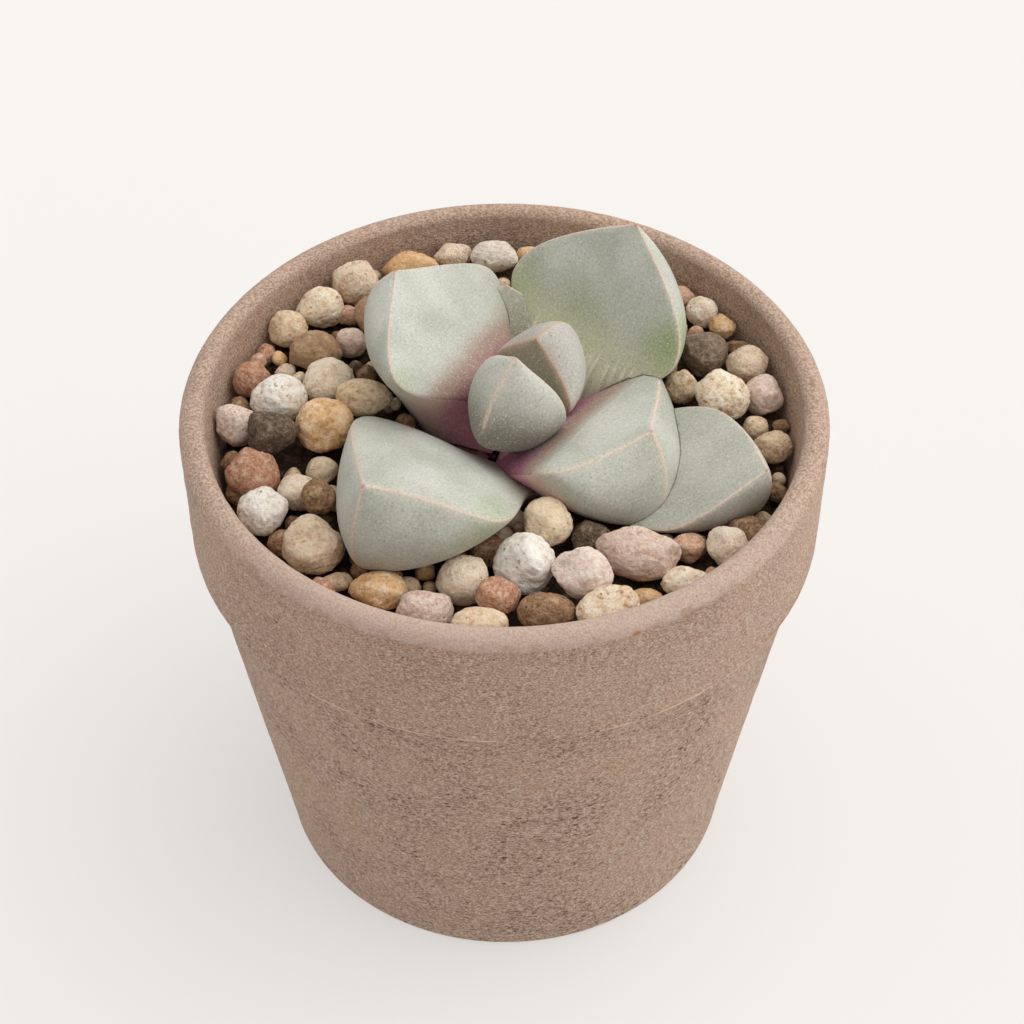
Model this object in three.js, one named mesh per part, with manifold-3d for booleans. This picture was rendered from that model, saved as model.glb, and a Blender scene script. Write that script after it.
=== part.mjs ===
// A lapidaria, a small stone-plant succulent, growing in a clay flowerpot under a top dressing
// of loose pebbles. Millimetres, +Z up, origin at the middle of the pot's foot.
// The pot stands on Z = 0, and -Y is its front.
import * as THREE from "three";
import { mergeVertices } from "three/addons/utils/BufferGeometryUtils.js";
import Module from "manifold-3d";

// ---- Driving dimensions -------------------------------------------------------------------

const GAP = 0.3; // clearance between pieces that rest on each other
const LEAF_CLEARANCE = 0.4; // leaves, root and gravel keep this much apart where they meet
const SHARD_CLEARANCE = 0.45;

const POT = {
  height: 61.7,
  rimRadius: 35,
  collarHeight: 15.3, // the thicker band below the rim
  collarFootRadius: 34.7,
  collarUndercut: 0.8, // the collar's lower edge slopes in over this height, below its foot
  collarEdge: 0.3, // and stands upright from this height above it
  bodyTopRadius: 33.5,
  footRadius: 26.1,
  mouthRadius: 32.2,
  wallSlope: 0.16, // how far the inner wall draws in per millimetre of depth
  floorThickness: 4,
  drainRadius: 5,
  rimOuterRound: 1.6,
  rimInnerRound: 1.1,
  footRound: 0.9,
  insideRound: 3,
  sides: 48,
};

const SHARD = { width: 20, length: 17, thickness: 2.6, rise: 5 };

const SOIL_TOP = 44;

const BED = {
  top: 54.6, // height of the fine gravel at the pot's axis
  slope: 0.06, // it is banked a little higher at the back
  lowestEdge: 2, // how far below the height at the axis its edge may lie
  sides: 40,
};

// The root stock's outline is given as shares of its height and of its neck radius.
const ROOT = {
  x: 2,
  y: 2,
  top: 52,
  bottom: 20,
  neckRadius: 5.4,
  outline: [[0, 0.18], [0.4, 0.42], [0.78, 0.85], [0.94, 1], [1, 0.85]],
  sides: 14,
};

// One leaf: a neck that widens to a three-sided head, flat above and keeled below.
// Widths and depths are half the face's width, and the keel's depth under that face.
// The azimuth is counted from +X towards +Y, the pitch upwards from level, in degrees.
// neckEnd, widestAt and deepestAt are shares of the length. lift is how far the left and the
// right shoulder rise above the face, lopsided is the share by which the left half is wider,
// stagger moves the left shoulder towards the tip and the right one back, and sway bends the
// leaf sideways.
// Inner leaves come first, because each later leaf makes room for those before it.
const LEAVES = [
  {
    name: "bud_leaf_front",
    base: [1.5, -0.4, 54.3], azimuth: 218, pitch: 104.3, roll: 17.7, length: 15.6,
    neckHalf: 1.5, headHalf: 5.2, neckEnd: 0.09, widestAt: 0.54, widthTaper: 2.6,
    neckDepth: 3, headDepth: 8.8, deepestAt: 0.35, depthTaper: 1.15,
    chin: 0.07, curl: -0.4, faceBulge: 0.01, sideBulge: 0.2, lift: [0.7, 1.3],
  },
  {
    name: "bud_leaf_back",
    base: [2.95, 3.5, 54.2], azimuth: 55.6, pitch: 83.5, roll: -9.1, length: 12.8,
    neckHalf: 2.95, headHalf: 6, neckEnd: 0.22, widestAt: 0.52, widthTaper: 1.1,
    neckDepth: 4.95, headDepth: 6.9, deepestAt: 0.41, depthTaper: 1.85,
    chin: 0.29, curl: 0.05, faceBulge: 0.02, sideBulge: 0.13, lift: [0.5, 0.8],
  },
  {
    name: "inner_leaf_left",
    base: [2.6, 4.85, 56.8], azimuth: 152.8, pitch: 26.1, roll: 15.7, length: 20.3,
    neckHalf: 4.7, headHalf: 14.45, neckEnd: 0.09, widestAt: 0.6, widthTaper: 1.3,
    neckDepth: 13.2, headDepth: 9.8, deepestAt: 0.49, depthTaper: 1.85,
    chin: 0.28, curl: 0.18, faceBulge: 0.02, sideBulge: 0.06, lift: [0.3, 1],
  },
  {
    name: "inner_leaf_right",
    base: [1.25, 0.6, 53.4], azimuth: -27.2, pitch: 38.7, roll: -11.2, length: 19.3,
    neckHalf: 7.3, headHalf: 12, neckEnd: 0.05, widestAt: 0.63, widthTaper: 0.8,
    neckDepth: 2.55, headDepth: 9.9, deepestAt: 0.58, depthTaper: 1.2,
    chin: 0.17, curl: -0.09, faceBulge: 0.02, sideBulge: 0.15, lift: [1.8, 1.1],
    neckSideBulge: 0.05, lopsided: 0.35, stagger: -0.05, sway: -0.55,
  },
  {
    name: "outer_leaf_back",
    base: [4.25, 7.4, 50.9], azimuth: 48.4, pitch: 53.6, roll: -5.3, length: 25.1,
    neckHalf: 3.25, headHalf: 12.55, neckEnd: 0.09, widestAt: 0.55, widthTaper: 1.65,
    neckDepth: 4.6, headDepth: 9.75, deepestAt: 0.55, depthTaper: 0.7,
    chin: 0.13, curl: -0.02, faceBulge: 0.02, sideBulge: 0.11, lift: [0.1, -0.7],
    lopsided: 0.035,
  },
  {
    name: "outer_leaf_front",
    base: [3.9, -2.4, 51.5], azimuth: 217.8, pitch: 46.8, roll: 12.1, length: 28,
    neckHalf: 6.2, headHalf: 12.7, neckEnd: 0.18, widestAt: 0.54, widthTaper: 1.2,
    neckDepth: 5.35, headDepth: 11.6, deepestAt: 0.61, depthTaper: 1.45,
    chin: 0.09, curl: -0.25, faceBulge: 0.08, sideBulge: 0.13, lift: [-1.5, 0.4],
    neckFaceBulge: 0.03, neckSideBulge: 0.05, lopsided: -0.1, stagger: 0.07, sway: -0.22,
  },
  {
    name: "oldest_leaf_right",
    base: [3, 0.8, 51.9], azimuth: -25.7, pitch: 26.2, roll: 7.4, length: 28.5,
    neckHalf: 4.8, headHalf: 8.4, neckEnd: 0.09, widestAt: 0.64, widthTaper: 1.8,
    neckDepth: 5, headDepth: 8.4, deepestAt: 0.56, depthTaper: 0.8,
    chin: 0.17, curl: -0.11, faceBulge: 0.01, sideBulge: 0.07, lift: [0.5, -1.7],
  },
  {
    name: "oldest_leaf_back",
    base: [1.2, 5.5, 51.8], azimuth: 95, pitch: 33, roll: -4, length: 17.6,
    neckHalf: 4, headHalf: 7.2, neckEnd: 0.09, widestAt: 0.62, widthTaper: 1.5,
    neckDepth: 4.2, headDepth: 6.2, deepestAt: 0.55, depthTaper: 1,
    chin: 0.16, curl: -0.05, faceBulge: 0.02, sideBulge: 0.08, lift: [0, 0],
  },
];
const NECK_FACE_BULGE = 0.16; // the neck is nearly round, so its sides bulge more than the head's
const NECK_SIDE_BULGE = 0.2;
const SHORTEST_FLARE = 0.12; // least share of the length in which a neck turns into a head
const CHIN_SCALE = 6.75; // makes (1 - s) * s * s peak at 1
const LEAF_RINGS = 13;
const LEAF_SIDE_POINTS = 4;
const RING_CROWDING = 1.35; // above 1, the rings lie closer together towards the tip
const CONTACT_RINGS = 30; // a finer leaf surface, for finding where pebbles touch it
const CONTACT_SIDE_POINTS = 10;

// The larger loose pebbles: kind, then x, y, width and height.
const PEBBLES = [
  ["buff", -17, 23.3, 5, 4.8],
  ["orange", -10.7, 26.1, 6.1, 3.8],
  ["buff", -5.9, 28.6, 4.2, 2.6],
  ["white", -1.4, 28.2, 5.1, 3.5],
  ["rust", 20.1, 22.2, 3, 2.6],
  ["cream", 22.5, 19.3, 3.3, 3.2],
  ["orange", 24.4, 17.3, 2.8, 2.6],
  ["charcoal", 22.2, 12.3, 4.9, 4.7],
  ["buff", 26.9, 10.1, 4.5, 4],
  ["tan", 19.5, 7.5, 3.6, 3.4],
  ["cream", 24, 5.2, 5.4, 5.2],
  ["mauve", 28.7, 5.5, 4.2, 4],
  ["tan", 29.3, -1.5, 3.8, 3.3],
  ["brown", 26.7, -12.1, 3.8, 3.1],
  ["buff", 23.2, -16.1, 4.2, 4],
  ["rust", 19.5, -16.2, 3.6, 2.8],
  ["mauve", 14.1, -18.1, 8, 5.2],
  ["cream", 18.8, -20.4, 4.9, 3],
  ["cream", 9.8, -23.8, 6.2, 4],
  ["mauve", 7.3, -20, 5.8, 4.9],
  ["charcoal", 9.8, -14.6, 4, 3.5],
  ["tan", 5.4, -14, 5, 4.7],
  ["white", 2.3, -18.3, 6, 5.8],
  ["brown", -2.5, -17.9, 3.8, 3.6],
  ["rust", -0.8, -21.8, 4.3, 3.8],
  ["brown", 3.8, -24, 5.6, 3.8],
  ["cream", -2.2, -25.6, 5.6, 4],
  ["buff", -5.9, -21.2, 5.2, 5],
  ["mauve", -8, -24.4, 5.6, 3.9],
  ["orange", -13.1, -21.6, 5.4, 4],
  ["buff", -19.4, -16.6, 6, 5.7],
  ["white", -25.2, -11.4, 5, 4.8],
  ["buff", -22, -8.8, 4, 3.9],
  ["brown", -19.4, -8.9, 3.5, 3.4],
  ["rust", -25.4, -5.1, 5.5, 5.2],
  ["charcoal", -23.8, -1, 4.9, 4.4],
  ["mauve", -28.8, 1.2, 4.4, 4.2],
  ["white", -24.7, 4.5, 5.8, 5.3],
  ["orange", -19.7, 0.6, 5.8, 5.6],
  ["rust", -28.2, 8, 3.9, 3.8],
  ["buff", -18.8, 7.3, 5.6, 5.1],
  ["tan", -14, 4.1, 5.6, 3.7],
  ["brown", -21.6, 11.1, 5.2, 4.4],
  ["tan", -25.9, 13.4, 4.1, 4],
  ["cream", -21.7, 16.6, 5.1, 4.2],
];
const PEBBLE_LUMP = 0.05; // share of the radius by which a pebble's outline wanders
const LUMP_WAVES = [3.1, 3.7]; // how many swells there are round it
const CLIMB = new THREE.Vector3(0, -1, 1).normalize(); // crowded pebbles ride up and forwards
const CLIMB_SHARE = 0.6; // how much of their crowding they ease by climbing, not spreading
const HIGHEST_CLIMB = 3; // above the place where a pebble lies on the bed
const HOME_PULL = 0.08; // share of its way back to its place that a pebble goes in each round
const SETTLE_ROUNDS = 300;
const FREE_ROUNDS = 90; // the last rounds only part pebbles, with nothing pulling them back

const COLOURS = {
  clay: 0xa18577,
  shard: 0xa8755a,
  soil: 0x4a3b30,
  grit: 0x8a7460,
  root: 0x8d7355,
  leaf: 0xa3ab9b,
  cream: 0xd9c7a8,
  buff: 0xc2a27a,
  tan: 0xa88a6b,
  orange: 0xc98f55,
  rust: 0xa5694b,
  brown: 0x7b5f4a,
  mauve: 0xb5958a,
  charcoal: 0x57504a,
  white: 0xd8d2c4,
};

// ---- Joining and cutting ------------------------------------------------------------------

const wasm = await Module();
wasm.setup();

function toSolid(geometry) {
  const bare = geometry.clone();
  bare.deleteAttribute("normal");
  bare.deleteAttribute("uv");
  const merged = mergeVertices(bare, 1e-4);
  return new wasm.Manifold(
    new wasm.Mesh({
      numProp: 3,
      vertProperties: new Float32Array(merged.attributes.position.array),
      triVerts: new Uint32Array(merged.index.array),
    }),
  );
}

function toGeometry(solid) {
  const mesh = solid.getMesh();
  const geometry = new THREE.BufferGeometry();
  geometry.setAttribute("position", new THREE.BufferAttribute(mesh.vertProperties, 3));
  geometry.setIndex(new THREE.BufferAttribute(mesh.triVerts, 1));
  geometry.computeVertexNormals();
  return geometry;
}

// The largest of the bodies that a cut leaves.
function mainBody(solid) {
  const bodies = solid.decompose();
  return bodies.reduce((best, body) => (body.volume() > best.volume() ? body : best));
}

function cutAway(geometry, cutters) {
  const cut = cutters.reduce((solid, cutter) => solid.subtract(cutter), toSolid(geometry));
  return toGeometry(mainBody(cut));
}

// ---- Shared shapes ------------------------------------------------------------------------

const radians = THREE.MathUtils.degToRad;

// A closed profile of [radius, height] pairs, turned about the Z axis.
function turned(profile, sides) {
  const points = profile.map(([radius, height]) => new THREE.Vector2(radius, height));
  return new THREE.LatheGeometry(points, sides).rotateX(Math.PI / 2);
}

// Points of an arc about [radius, height], from one angle to another in degrees.
function arc([radius, height], size, from, to, steps = 3) {
  return Array.from({ length: steps + 1 }, (_, i) => {
    const angle = radians(from + ((to - from) * i) / steps);
    return [radius + size * Math.cos(angle), height + size * Math.sin(angle)];
  });
}

const wallRadius = (z) => POT.mouthRadius - (POT.height - z) * POT.wallSlope;
const bedHeight = (y) => BED.top + BED.slope * y;

// ---- Pot and what fills it ----------------------------------------------------------------

function potGeometry() {
  const { height, rimRadius, rimOuterRound, rimInnerRound, footRadius, footRound } = POT;
  const collarFoot = height - POT.collarHeight;
  const inside = POT.insideRound;
  const corner = POT.floorThickness + inside;
  const profile = [
    [POT.drainRadius, 0],
    ...arc([footRadius - footRound, footRound], footRound, -90, 0, 2),
    [POT.bodyTopRadius, collarFoot - POT.collarUndercut],
    [POT.collarFootRadius, collarFoot + POT.collarEdge],
    ...arc([rimRadius - rimOuterRound, height - rimOuterRound], rimOuterRound, 0, 90, 4),
    ...arc([POT.mouthRadius + rimInnerRound, height - rimInnerRound], rimInnerRound, 90, 180),
    ...arc([wallRadius(corner) - inside, corner], inside, 0, -90),
    [POT.drainRadius, POT.floorThickness],
    [POT.drainRadius, 0],
  ];
  return turned(profile, POT.sides);
}

// A bent piece of an old pot, laid hollow side down over the drainage hole.
function shardGeometry(grow = 0) {
  const { width, length, thickness, rise } = SHARD;
  const half = width / 2 + grow;
  const outer = rise + thickness + 2 * grow; // it starts lower by one grow
  const inner = rise;
  const shape = new THREE.Shape();
  shape.moveTo(-half, 0);
  shape.quadraticCurveTo(-half * 0.55, outer, 0, outer);
  shape.quadraticCurveTo(half * 0.55, outer, half, 0);
  shape.lineTo(half - thickness - grow, 0);
  shape.quadraticCurveTo(half * 0.4, inner, 0, inner);
  shape.quadraticCurveTo(-half * 0.4, inner, -half + thickness + grow, 0);
  shape.closePath();
  const depth = length + 2 * grow;
  const options = { depth, bevelEnabled: false, curveSegments: 5 };
  const geometry = new THREE.ExtrudeGeometry(shape, options);
  geometry.translate(0, 0, -depth / 2).rotateX(Math.PI / 2);
  return geometry.translate(0, 0, POT.floorThickness + GAP - grow);
}

function soilGeometry(rootSolid) {
  const bottom = POT.floorThickness + GAP;
  const corner = POT.insideRound + bottom;
  const profile = [
    [0, bottom],
    [wallRadius(corner) - POT.insideRound - GAP, bottom],
    [wallRadius(corner) - GAP, corner],
    [wallRadius(SOIL_TOP) - GAP, SOIL_TOP],
    [0, SOIL_TOP],
  ];
  const shardSpace = toSolid(shardGeometry(SHARD_CLEARANCE));
  return cutAway(turned(profile, BED.sides), [shardSpace, rootSolid]);
}

function bedGeometry(cutters) {
  const bottom = SOIL_TOP + GAP;
  const middle = (bottom + BED.top) / 2;
  const profile = [
    [0, bottom],
    [wallRadius(bottom) - GAP, bottom],
    [wallRadius(BED.top - BED.lowestEdge) - GAP, BED.top],
    [0, BED.top],
  ];
  const geometry = turned(profile, BED.sides);
  const position = geometry.attributes.position;
  for (let i = 0; i < position.count; i += 1) {
    if (position.getZ(i) > middle) position.setZ(i, bedHeight(position.getY(i)));
  }
  return cutAway(geometry, cutters);
}

function rootGeometry(grow = 0) {
  const bottom = ROOT.bottom - grow;
  const height = ROOT.top + grow - bottom;
  const flank = ROOT.outline.map(([up, out]) => [
    ROOT.neckRadius * out + grow,
    bottom + height * up,
  ]);
  const profile = [[0, bottom], ...flank, [0, bottom + height]];
  return turned(profile, ROOT.sides).translate(ROOT.x, ROOT.y, 0);
}

// ---- Leaves -------------------------------------------------------------------------------

function hermite(t, from, to, slopeFrom, slopeTo) {
  const t2 = t * t;
  const t3 = t2 * t;
  return (
    (2 * t3 - 3 * t2 + 1) * from +
    (t3 - 2 * t2 + t) * slopeFrom +
    (3 * t2 - 2 * t3) * to +
    (t3 - t2) * slopeTo
  );
}

// A size along the leaf: from its value at the neck to its greatest, then down to nothing.
function swell(s, neck, head, neckEnd, peakAt, taper) {
  if (s < neckEnd) return neck;
  if (s < peakAt) return hermite((s - neckEnd) / (peakAt - neckEnd), neck, head, 0, 0);
  return hermite((s - peakAt) / (1 - peakAt), head, 0, 0, -taper * head);
}

// Points from a towards b, bulging away from the section's middle.
function bulgingSide(a, b, middle, bulge, count) {
  const along = b.clone().sub(a);
  const out = a.clone().add(b).multiplyScalar(0.5).sub(middle);
  out.addScaledVector(along, -out.dot(along) / along.lengthSq()).normalize();
  const height = bulge * along.length();
  return Array.from({ length: count }, (_, i) => {
    const t = i / count;
    const point = a.clone().addScaledVector(along, t);
    return point.addScaledVector(out, height * 4 * t * (1 - t));
  });
}

function leafRing(leaf, s, count) {
  const { neckEnd, widestAt, lopsided = 0, stagger = 0 } = leaf;
  const halfWidth = (side) => {
    const peak = Math.max(widestAt + side * stagger, neckEnd + SHORTEST_FLARE);
    const half = swell(s, leaf.neckHalf, leaf.headHalf, neckEnd, peak, leaf.widthTaper);
    return half * (1 + side * lopsided);
  };
  const depth = swell(s, leaf.neckDepth, leaf.headDepth, neckEnd, leaf.deepestAt, leaf.depthTaper);
  const head = THREE.MathUtils.smoothstep(s, neckEnd, widestAt);
  const leftHalf = halfWidth(1);
  const rise = s < widestAt ? head : (leftHalf / leaf.headHalf / (1 + lopsided)) ** 2;
  const x = leaf.length * s;
  const keelX = x + leaf.chin * leaf.length * CHIN_SCALE * (1 - s) * s * s;
  const left = new THREE.Vector3(x, leftHalf, leaf.lift[0] * rise);
  const right = new THREE.Vector3(x, -halfWidth(-1), leaf.lift[1] * rise);
  const keel = new THREE.Vector3(keelX, 0, -depth);
  const middle = left.clone().add(right).add(keel).divideScalar(3);
  const { neckFaceBulge = NECK_FACE_BULGE, neckSideBulge = NECK_SIDE_BULGE } = leaf;
  const face = THREE.MathUtils.lerp(neckFaceBulge, leaf.faceBulge, head);
  const side = THREE.MathUtils.lerp(neckSideBulge, leaf.sideBulge, head);
  return [
    ...bulgingSide(right, left, middle, face, count),
    ...bulgingSide(left, keel, middle, side, count),
    ...bulgingSide(keel, right, middle, side, count),
  ];
}

function leafGeometry(leaf, rings = LEAF_RINGS, count = LEAF_SIDE_POINTS) {
  const around = 3 * count;
  const points = [new THREE.Vector3(0, 0, -leaf.neckDepth / 2)];
  for (let i = 0; i < rings; i += 1) {
    const s = 1 - (1 - i / rings) ** RING_CROWDING;
    points.push(...leafRing(leaf, s, count));
  }
  points.push(new THREE.Vector3(leaf.length, 0, 0));
  const tip = points.length - 1;
  const { length, curl, sway = 0 } = leaf;
  for (const point of points) {
    point.z += (curl * point.x ** 2) / length;
    point.y += (sway * point.x * (length - point.x)) / length;
  }

  const index = [];
  const at = (ring, k) => 1 + ring * around + (k % around);
  for (let k = 0; k < around; k += 1) {
    index.push(0, at(0, k), at(0, k + 1));
    index.push(tip, at(rings - 1, k + 1), at(rings - 1, k));
  }
  for (let ring = 0; ring < rings - 1; ring += 1) {
    for (let k = 0; k < around; k += 1) {
      index.push(at(ring, k), at(ring + 1, k), at(ring + 1, k + 1));
      index.push(at(ring, k), at(ring + 1, k + 1), at(ring, k + 1));
    }
  }
  const geometry = new THREE.BufferGeometry().setFromPoints(points);
  geometry.setIndex(index);
  geometry.rotateX(radians(leaf.roll)).rotateY(-radians(leaf.pitch));
  geometry.rotateZ(radians(leaf.azimuth)).translate(...leaf.base);
  geometry.computeVertexNormals();
  return geometry;
}

// The same surface moved outwards, to leave clearance round a leaf.
function swollen(geometry, distance) {
  const grown = geometry.clone();
  const position = grown.attributes.position;
  const normal = grown.attributes.normal;
  for (let i = 0; i < position.count; i += 1) {
    const vertex = new THREE.Vector3().fromBufferAttribute(position, i);
    vertex.addScaledVector(new THREE.Vector3().fromBufferAttribute(normal, i), distance);
    position.setXYZ(i, vertex.x, vertex.y, vertex.z);
  }
  return grown;
}

// ---- Pebbles ------------------------------------------------------------------------------

// How far two pebbles must part along CLIMB, given the way from one to the other and the
// half sizes that they need between them.
function climbApart(away, reach) {
  const near = away.clone().divide(reach);
  const step = CLIMB.clone().divide(reach);
  const ahead = near.dot(step);
  const room = Math.sqrt(ahead ** 2 + step.lengthSq() * (1 - near.lengthSq()));
  return (ahead < 0 ? -ahead - room : room - ahead) / step.lengthSq();
}

// Moves a pebble back above the bed, below its highest climb and inside the pot's wall.
function keepInside(spot) {
  const { at, half, height } = spot;
  const lowest = bedHeight(at.y) + GAP + height / 2;
  at.z = THREE.MathUtils.clamp(at.z, lowest, lowest + HIGHEST_CLIMB);
  const radius = Math.hypot(at.x, at.y);
  const outwards = Math.hypot(half.x * at.x, half.y * at.y) / radius;
  const limit = wallRadius(at.z - height / 4) - outwards;
  if (radius > limit) {
    at.x *= limit / radius;
    at.y *= limit / radius;
  }
}

// Where the pebbles lie once none touches another, the pot's wall or a leaf.
function settle(pebbles, leafPoints) {
  const spots = pebbles.map(([kind, x, y, width, height]) => {
    const home = new THREE.Vector3(x, y, bedHeight(y) + GAP + height / 2);
    const half = new THREE.Vector3(width, height, height);
    half.multiplyScalar((1 + PEBBLE_LUMP) / 2).addScalar(GAP / 2);
    return { kind, home, at: home.clone(), half, width, height };
  });
  for (let round = 0; round < SETTLE_ROUNDS; round += 1) {
    const free = round >= SETTLE_ROUNDS - FREE_ROUNDS;
    if (!free) spots.forEach((spot) => spot.at.lerp(spot.home, HOME_PULL));
    spots.forEach((a, i) => {
      for (const b of spots.slice(i + 1)) {
        const away = b.at.clone().sub(a.at);
        const reach = a.half.clone().add(b.half);
        const near = away.clone().divide(reach).length();
        if (near >= 1) continue;
        const push = CLIMB.clone().multiplyScalar(CLIMB_SHARE * climbApart(away, reach));
        push.addScaledVector(away, (1 - CLIMB_SHARE) * (1 / near - 1));
        b.at.addScaledVector(push, 0.5);
        a.at.addScaledVector(push, -0.5);
      }
    });
    for (const spot of spots) {
      const { at, half } = spot;
      let nearest = null;
      let least = 1;
      for (const point of leafPoints) {
        const near = Math.hypot(
          (point.x - at.x) / half.x,
          (point.y - at.y) / half.y,
          (point.z - at.z) / half.z,
        );
        if (near < least) {
          least = near;
          nearest = point;
        }
      }
      if (nearest) {
        const away = at.clone().sub(nearest);
        if (free) away.setZ(0);
        at.addScaledVector(away, 1 / least - 1);
      }
      keepInside(spot);
    }
  }
  return spots;
}

function pebbleGeometry(spot, number) {
  const geometry = new THREE.IcosahedronGeometry(1, 1);
  const position = geometry.attributes.position;
  for (let i = 0; i < position.count; i += 1) {
    const v = new THREE.Vector3().fromBufferAttribute(position, i);
    const across = Math.sin(LUMP_WAVES[0] * v.x + number);
    const along = Math.sin(LUMP_WAVES[1] * v.y + 2 * number + v.z);
    v.multiplyScalar(1 + (PEBBLE_LUMP * (across + along)) / 2);
    position.setXYZ(i, v.x, v.y, v.z);
  }
  const { width, height } = spot;
  return geometry.scale(width / 2, height / 2, height / 2);
}

// ---- Assembly -----------------------------------------------------------------------------

function piece(name, geometry, colour, roughness = 0.9) {
  const material = new THREE.MeshStandardMaterial({ color: colour, roughness, metalness: 0 });
  const mesh = new THREE.Mesh(geometry, material);
  mesh.name = name;
  return mesh;
}

const root = new THREE.Group();

const leafShapes = LEAVES.map((leaf) => leafGeometry(leaf));
const leafSpaces = leafShapes.map((shape) => toSolid(swollen(shape, LEAF_CLEARANCE)));
const rootSpace = toSolid(rootGeometry(LEAF_CLEARANCE));

const holder = new THREE.Group();
holder.add(piece("pot", potGeometry(), COLOURS.clay));
holder.add(piece("drainage_shard", shardGeometry(), COLOURS.shard));
holder.add(piece("potting_soil", soilGeometry(rootSpace), COLOURS.soil, 1));
holder.add(piece("gravel_bed", bedGeometry([rootSpace, ...leafSpaces]), COLOURS.grit, 0.95));
root.add(holder);

const plant = new THREE.Group();
plant.add(piece("root_stock", cutAway(rootGeometry(), leafSpaces), COLOURS.root));
LEAVES.forEach((leaf, i) => {
  const shape = cutAway(leafShapes[i], leafSpaces.slice(0, i));
  plant.add(piece(leaf.name, shape, COLOURS.leaf, 0.7));
});
root.add(plant);

const dressing = new THREE.Group();
const leafPoints = LEAVES.flatMap((leaf) => {
  const position = leafGeometry(leaf, CONTACT_RINGS, CONTACT_SIDE_POINTS).attributes.position;
  const count = position.count;
  return Array.from({ length: count }, (_, i) =>
    new THREE.Vector3().fromBufferAttribute(position, i),
  );
});
const counted = {};
settle(PEBBLES, leafPoints).forEach((spot, i) => {
  counted[spot.kind] = (counted[spot.kind] ?? 0) + 1;
  const name = `${spot.kind}_pebble_${counted[spot.kind]}`;
  const mesh = piece(name, pebbleGeometry(spot, i), COLOURS[spot.kind]);
  mesh.position.copy(spot.at);
  dressing.add(mesh);
});
root.add(dressing);

export default root;
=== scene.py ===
"""A potted lapidaria: clay flowerpot, keeled stone-plant leaves and a dressing of loose pebbles.

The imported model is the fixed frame. Every piece here is built in that frame, in metres, and
rides on its one body. Sizes below are in millimetres unless a name says otherwise.
"""

import math
import random
from collections import namedtuple

import bmesh
import bpy
import numpy as np
from bpy.props import FloatProperty, FloatVectorProperty, IntProperty, PointerProperty
from mathutils import Euler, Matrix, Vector, noise
from mathutils.kdtree import KDTree


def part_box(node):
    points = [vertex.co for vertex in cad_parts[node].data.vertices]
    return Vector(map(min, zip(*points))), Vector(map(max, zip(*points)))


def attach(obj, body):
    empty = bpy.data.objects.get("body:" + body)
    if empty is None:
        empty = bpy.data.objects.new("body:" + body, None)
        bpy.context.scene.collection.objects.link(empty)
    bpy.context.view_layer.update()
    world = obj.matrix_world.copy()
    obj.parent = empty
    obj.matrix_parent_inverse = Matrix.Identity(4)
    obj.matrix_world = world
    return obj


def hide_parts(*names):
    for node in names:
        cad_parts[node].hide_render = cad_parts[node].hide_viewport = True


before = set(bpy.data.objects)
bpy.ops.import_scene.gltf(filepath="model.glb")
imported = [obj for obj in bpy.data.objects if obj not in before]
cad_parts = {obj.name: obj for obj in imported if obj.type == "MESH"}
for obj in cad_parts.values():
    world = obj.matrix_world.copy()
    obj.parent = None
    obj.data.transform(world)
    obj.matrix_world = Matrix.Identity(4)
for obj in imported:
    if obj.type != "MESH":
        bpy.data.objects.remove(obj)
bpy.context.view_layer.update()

bl_info = {
    "name": "Potted lapidaria",
    "version": (1, 0, 0),
    "blender": (4, 5, 0),
    "location": "3D View > Sidebar > Lapidaria",
    "description": "Builds a small stone plant in a clay flowerpot, piece by piece",
    "category": "Add Mesh",
}

MM = 0.001
BODY = "root"


# ---- Small tools --------------------------------------------------------------------------


def linear(hex_colour):
    """An sRGB hex colour as linear red, green, blue and alpha."""
    parts = [int(hex_colour[i : i + 2], 16) / 255 for i in (1, 3, 5)]
    low = [c / 12.92 for c in parts]
    high = [((c + 0.055) / 1.055) ** 2.4 for c in parts]
    return (*[h if c > 0.04045 else d for c, d, h in zip(parts, low, high)], 1.0)


def colour_property(name, hex_colour, description):
    """A colour that a user may change, with its default as a hex value."""
    return FloatVectorProperty(
        name=name,
        description=description,
        default=linear(hex_colour),
        subtype="COLOR",
        size=4,
        min=0,
        max=1,
    )


def size_property(name, millimetres, description):
    """A length that a user may change, with its default in millimetres."""
    return FloatProperty(
        name=name,
        description=description,
        default=millimetres * MM,
        unit="LENGTH",
        precision=5,
        min=0,
    )


def add_node(tree, kind, settings=(), inputs=()):
    """Adds a node, sets its properties, and fills or links its inputs. Where a whole node is
    given for an input, its first output is linked."""
    node = tree.nodes.new(kind)
    for name, value in dict(settings).items():
        setattr(node, name, value)
    for key, value in dict(inputs).items():
        if isinstance(value, bpy.types.Node):
            value = value.outputs[0]
        if isinstance(value, bpy.types.NodeSocket):
            tree.links.new(value, node.inputs[key])
        else:
            node.inputs[key].default_value = value
    return node


def per_mm(feature):
    """A texture scale whose features are that many millimetres across."""
    return 1 / (feature * MM)


# Socket numbers of the Mix node when it mixes colours.
MIX_A, MIX_B, MIX_RESULT = 6, 7, 2
COLOUR_MIX = {"data_type": "RGBA"}
# Kinds of node and sums by short names, and the inputs of two kinds in their order.
NOISE, CELLS, CHANNELS = "ShaderNodeTexNoise", "ShaderNodeTexVoronoi", "ShaderNodeSeparateColor"
RANGE, MATHS = "ShaderNodeMapRange", "ShaderNodeMath"
ADD, SUBTRACT, MULTIPLY, MULTIPLY_ADD = (
    {"operation": name} for name in ("ADD", "SUBTRACT", "MULTIPLY", "MULTIPLY_ADD")
)
NOISE_INPUTS = ("Vector", "Scale", "Detail", "Roughness")
RANGE_INPUTS = ("Value", "From Min", "From Max", "To Min", "To Max")


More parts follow.
